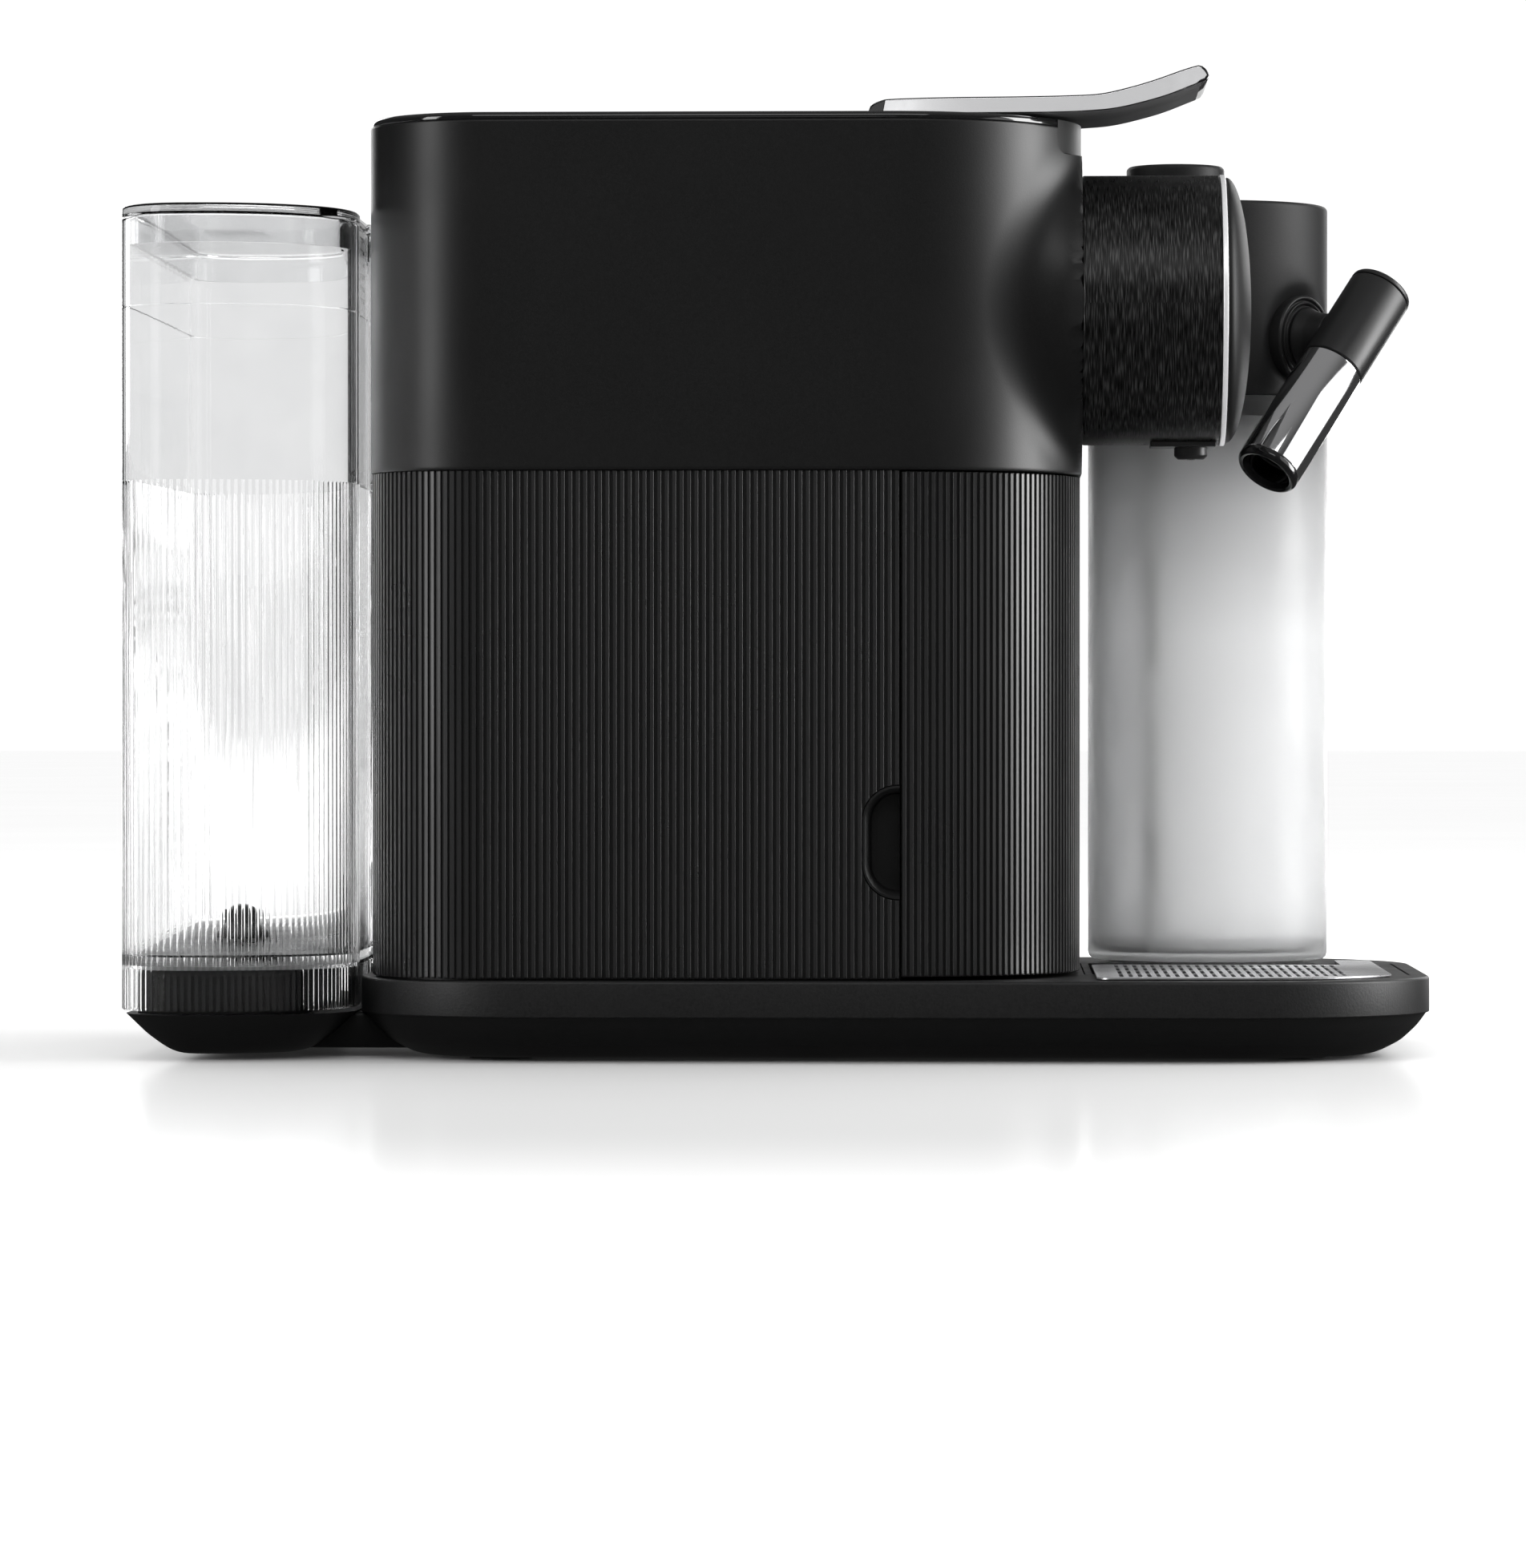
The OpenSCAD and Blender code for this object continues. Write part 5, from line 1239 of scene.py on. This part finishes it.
# plug below the head
Pq, Nq = o7.at(o7.samples(3.0, 2.0))
rings = [ring_z(Pq - Nq * 2.6, 184), ring_z(Pq - Nq * 2.4, 184.3), ring_z(Pq - Nq * 2.4, 190.2), ring_z(Pq - Nq * 9, 190.2), ring_z(Pq - Nq * 9, 184)]
v, f = loft_vf(rings, closed=True)
make("head_plug", v, f, M["head"], "milk_jug", slot="head")

# froth knob: low drum with a soft top edge and a grip band
kn = []
prof = fillet_profile([(0, 0), (0, 14.1), (0.4, 14.5), (12.3, 14.5), (13.1, 13.7), (13.1, 2.2), (12.8, 0)], [0, 0.2, 0.3, 0.6, 0.6, 1.0, 0], 4)
knob = lathe("froth_knob_drum", prof, (114.5, 55, 246.3), (0, 0, 1), M["head"], "knob", n=160, replaces=["froth_knob"], slot="head", smooth=40)
v, f = box_vf(125.0, 128.2, 54.6, 55.4, 259.0, 259.42)
bevel(make("knob_mark", v, f, M["mark"], "knob", slot="head"), 0.1)
lathe("knob_stem", [(0, 0), (0, 5), (17.5, 5), (17.5, 0)], (114.5, 55, 229), (0, 0, 1), M["white_part"], "knob", n=48, slot="head")

# boss: stepped rings round the swivel
prof = fillet_profile([(-9, 7.1), (-9, 8.9), (-3.4, 8.9), (-3.4, 13.0), (0.2, 13.0), (0.8, 12.5), (0.8, 11.9), (0.1, 11.6), (0.1, 11.2), (1.0, 11.0), (1.0, 10.4), (0.5, 10.2), (0.5, 9.9), (1.0, 9.7), (1.0, 7.1)],
                      [0, 0, 0, 0.3, 0.4, 0.4, 0.3, 0.2, 0.2, 0.3, 0.3, 0.1, 0.1, 0.2, 0], 3)
lathe("boss_rings", prof, B0, BDIR, M["spout_black"], "milk_jug", n=128, closed=True, replaces=["boss_ring"], slot="gloss_black", smooth=35)

# spout: black upper tube joined to the swivel hub
SR = 9.45
prof = fillet_profile([(-17.3, 6.8), (-17.3, SR - 0.25), (-17.0, SR), (11.5, SR), (11.9, SR - 0.3), (11.9, 6.8)], [0, 0.15, 0.2, 0.2, 0.15, 0], 3)
spb = lathe("spout_upper", prof, S0, ADIR, M["spout_black"], "spout", n=128, closed=True, replaces=["spout_body"], slot="gloss_black", smooth=35)
prof = [(1.3, 0), (1.3, 9.1), (1.8, 9.3), (3.4, 8.6), (5.2, 7.9), (7.5, 7.5), (10.5, 7.3), (10.5, 0)]
vv, ff = lathe_vf(fillet_profile(prof, 0.5, 3), 96)
neck_t = tool("hubn", place(vv, axis_frame(B0, BDIR)), ff)
cut(spb, [neck_t], op="UNION", smooth=35)
vv, ff = lathe_vf([(-18, 0), (-18, 6.8), (18, 6.8), (18, 0)], 96)
cut(spb, [tool("bore", place(vv, axis_frame(S0, ADIR)), ff)], smooth=35)
lathe("spout_hub_shaft", [(-8, 0), (-8, 7.0), (1.6, 7.0), (1.6, 0)], B0, BDIR, M["white_part"], "spout", n=64, slot="gloss_black")
prof = fillet_profile([(0, 0), (0, 3.0), (0.12, SR - 1.2), (0.9, SR - 0.1), (2.1, SR), (2.3, SR - 0.3), (2.4, SR - 0.8), (2.4, 0)], [0, 1.0, 0.8, 0.5, 0.2, 0.1, 0.1, 0], 4)
lathe("spout_end_cap", prof, S0 - 19.8 * ADIR, ADIR, M["spout_black"], "spout", n=128, replaces=["spout_cap"], slot="gloss_black", smooth=40)
prof = fillet_profile([(12.2, 7.3), (12.2, SR - 0.2), (12.4, SR), (50.4, SR), (50.65, SR - 0.2), (50.65, 7.3)], [0, 0.1, 0.12, 0.12, 0.1, 0], 2)
lathe("spout_chrome_sleeve", prof, S0, ADIR, M["chrome"], "sleeve", n=160, closed=True, replaces=["spout_sleeve"], slot="chrome", smooth=35)
prof = fillet_profile([(50.72, 7.3), (50.72, SR - 0.02), (52.2, SR - 0.02), (53.0, SR - 0.7), (53.2, SR - 1.1), (52.9, 7.5), (51.4, 7.3)], [0, 0.15, 0.5, 0.4, 0.3, 0.3, 0], 4)
lathe("spout_black_lip", prof, S0, ADIR, M["gloss"], "sleeve", n=128, closed=True, replaces=["spout_lip"], slot="gloss_black", smooth=40)

# --------------------------------------------------------------------------
# floor, world and lights
# --------------------------------------------------------------------------
bpy.ops.mesh.primitive_plane_add(size=40, location=(0, 0, 0))
fl = bpy.context.object
fl.name = "floor"
fm = mat("pale_floor", 0.9, 0.6)
fm.node_tree.nodes.remove(bsdf(fm))
fo = fm.node_tree.nodes["Material Output"]
lpf = nd(fm, "ShaderNodeLightPath")
dif = nd(fm, "ShaderNodeBsdfDiffuse")
n = noise(fm, 3.0, 2.0, 0.5)
link(fm, ramp(fm, n, [(0.3, 0.89), (0.7, 0.91)]), dif.inputs["Color"])
glo = nd(fm, "ShaderNodeBsdfGlossy")
glo.inputs["Roughness"].default_value = 0.15
glo.inputs["Color"].default_value = (1, 1, 1, 1)
m1 = nd(fm, "ShaderNodeMixShader"); m1.inputs[0].default_value = 0.54
ftc = nd(fm, "ShaderNodeTexCoord")
fln = nd(fm, "ShaderNodeVectorMath", operation="LENGTH"); link(fm, ftc.outputs["Object"], fln.inputs[0])
fmr = nd(fm, "ShaderNodeMapRange", interpolation_type="SMOOTHSTEP")
fmr.inputs["From Min"].default_value = 0.40; fmr.inputs["From Max"].default_value = 0.92
fmr.inputs["To Min"].default_value = 0.53; fmr.inputs["To Max"].default_value = 0.0
link(fm, fln.outputs["Value"], fmr.inputs["Value"])
flw = nd(fm, "ShaderNodeLayerWeight"); flw.inputs["Blend"].default_value = 0.5
fgr = nd(fm, "ShaderNodeMapRange", interpolation_type="SMOOTHSTEP")
fgr.inputs["From Min"].default_value = 0.78; fgr.inputs["From Max"].default_value = 0.91
link(fm, flw.outputs["Facing"], fgr.inputs["Value"])
fmx = nd(fm, "ShaderNodeMath", operation="MULTIPLY")
link(fm, fmr.outputs["Result"], fmx.inputs[0]); link(fm, fgr.outputs["Result"], fmx.inputs[1])
link(fm, fmx.outputs[0], m1.inputs[0])
link(fm, dif.outputs[0], m1.inputs[1]); link(fm, glo.outputs[0], m1.inputs[2])
em = nd(fm, "ShaderNodeEmission"); em.inputs["Strength"].default_value = 0.005
ad = nd(fm, "ShaderNodeAddShader")
link(fm, m1.outputs[0], ad.inputs[0]); link(fm, em.outputs[0], ad.inputs[1])
dk = nd(fm, "ShaderNodeEmission"); dk.inputs["Strength"].default_value = 0.05
notr = nd(fm, "ShaderNodeMath", operation="SUBTRACT"); notr.inputs[0].default_value = 1.0
link(fm, lpf.outputs["Is Transmission Ray"], notr.inputs[1])
gl_ = nd(fm, "ShaderNodeMath", operation="MULTIPLY")
link(fm, lpf.outputs["Is Glossy Ray"], gl_.inputs[0]); link(fm, notr.outputs[0], gl_.inputs[1])
m2 = nd(fm, "ShaderNodeMixShader")
link(fm, gl_.outputs[0], m2.inputs[0]); link(fm, ad.outputs[0], m2.inputs[1]); link(fm, dk.outputs[0], m2.inputs[2])
link(fm, m2.outputs[0], fo.inputs["Surface"])
fl.data.materials.append(fm)

# world: white for the camera, diffuse and transmitted rays; a dark studio with a pale
# band behind the object and a soft top for mirror rays
w = bpy.data.worlds.new("studio")
scene.world = w
w.use_nodes = True
nt = w.node_tree
bg = nt.nodes["Background"]
lp_ = nt.nodes.new("ShaderNodeLightPath")
geo = nt.nodes.new("ShaderNodeTexCoord")
sp = nt.nodes.new("ShaderNodeSeparateXYZ"); nt.links.new(geo.outputs["Generated"], sp.inputs[0])
back = nt.nodes.new("ShaderNodeMapRange"); back.interpolation_type = "SMOOTHSTEP"
back.inputs["From Min"].default_value = 0.955; back.inputs["From Max"].default_value = 0.995
back.inputs["To Min"].default_value = 0.032; back.inputs["To Max"].default_value = 0.75
nt.links.new(sp.outputs["Y"], back.inputs["Value"])
up = nt.nodes.new("ShaderNodeMapRange"); up.interpolation_type = "SMOOTHSTEP"
up.inputs["From Min"].default_value = 0.35; up.inputs["From Max"].default_value = 0.95
up.inputs["To Min"].default_value = 0.0; up.inputs["To Max"].default_value = 0.22
nt.links.new(sp.outputs["Z"], up.inputs["Value"])
su = nt.nodes.new("ShaderNodeMath"); su.operation = "ADD"
nt.links.new(back.outputs["Result"], su.inputs[0]); nt.links.new(up.outputs["Result"], su.inputs[1])
nott = nt.nodes.new("ShaderNodeMath"); nott.operation = "SUBTRACT"; nott.inputs[0].default_value = 1.0
nt.links.new(lp_.outputs["Is Transmission Ray"], nott.inputs[1])
gf = nt.nodes.new("ShaderNodeMath"); gf.operation = "MULTIPLY"
nt.links.new(lp_.outputs["Is Glossy Ray"], gf.inputs[0]); nt.links.new(nott.outputs[0], gf.inputs[1])
mx = nt.nodes.new("ShaderNodeMix"); mx.data_type = "FLOAT"
mx.inputs[2].default_value = 1.06
nt.links.new(gf.outputs[0], mx.inputs[0]); nt.links.new(su.outputs[0], mx.inputs[3])
nt.links.new(mx.outputs[0], bg.inputs["Strength"])
bg.inputs["Color"].default_value = (1, 1, 1, 1)


def area(name, loc, target, sx, sy, power, cam_vis=False, gloss=True, roll=0.0):
    ld = bpy.data.lights.new(name, "AREA")
    ld.shape = "RECTANGLE"
    ld.size, ld.size_y = sx, sy
    ld.energy = power
    ob = bpy.data.objects.new(name, ld)
    scene.collection.objects.link(ob)
    ob.location = loc
    q = (Vector(target) - Vector(loc)).to_track_quat("-Z", "Y").to_matrix().to_4x4() @ Matrix.Rotation(math.radians(roll), 4, "Z")
    ob.rotation_euler = q.to_euler()
    ob.visible_camera = cam_vis
    ob.visible_glossy = gloss
    return ob


area("top_soft", (0.0, 0.15, 1.9), (0, 0, 0.1), 1.6, 1.0, 8, gloss=False)
area("front_top_strip", (0.08, -1.42, 1.36), (0.06, -0.05, 0.2), 1.3, 0.42, 5)
area("left_strip", (-1.46, -0.90, 0.45), (-0.09, -0.08, 0.15), 0.42, 1.3, 11.5)
area("right_soft", (1.42, 0.0, 0.45), (0.06, -0.08, 0.15), 0.60, 1.3, 30)
area("spout_card", (0.425, -0.07, 0.225), (0.15, 0.006, 0.183), 0.16, 0.42, 0.285, roll=54)
area("lever_card", (0.0, -2.25, 0.468), (0.0, -0.08, 0.267), 0.34, 0.20, 0.145)
area("lever_card_left", (-0.005, -2.24, 0.468), (0.0, -0.08, 0.267), 0.05, 0.20, 0.016)
area("lever_card_tip", (0.215, -2.25, 0.478), (0.12, -0.08, 0.27), 0.09, 0.20, 0.045)
area("back_left", (-1.1, 1.3, 0.7), (0, 0, 0.13), 0.5, 1.2, 4, gloss=False)
for x_, w_ in ((-0.78, 7.0), (0.78, 7.0)):
    area("back_strip", (x_, 1.75, 0.55), (0, 0.1, 0.15), 0.42, 1.2, w_).visible_transmission = False
area("back_right", (1.1, 1.3, 0.7), (0, 0, 0.13), 0.5, 1.2, 4, gloss=False)

bpy.context.view_layer.update()
for o_ in list(bpy.data.objects):
    if o_.type == "MESH" and o_.name != "floor" and o_.parent is None:
        print("LEFT OVER", o_.name)
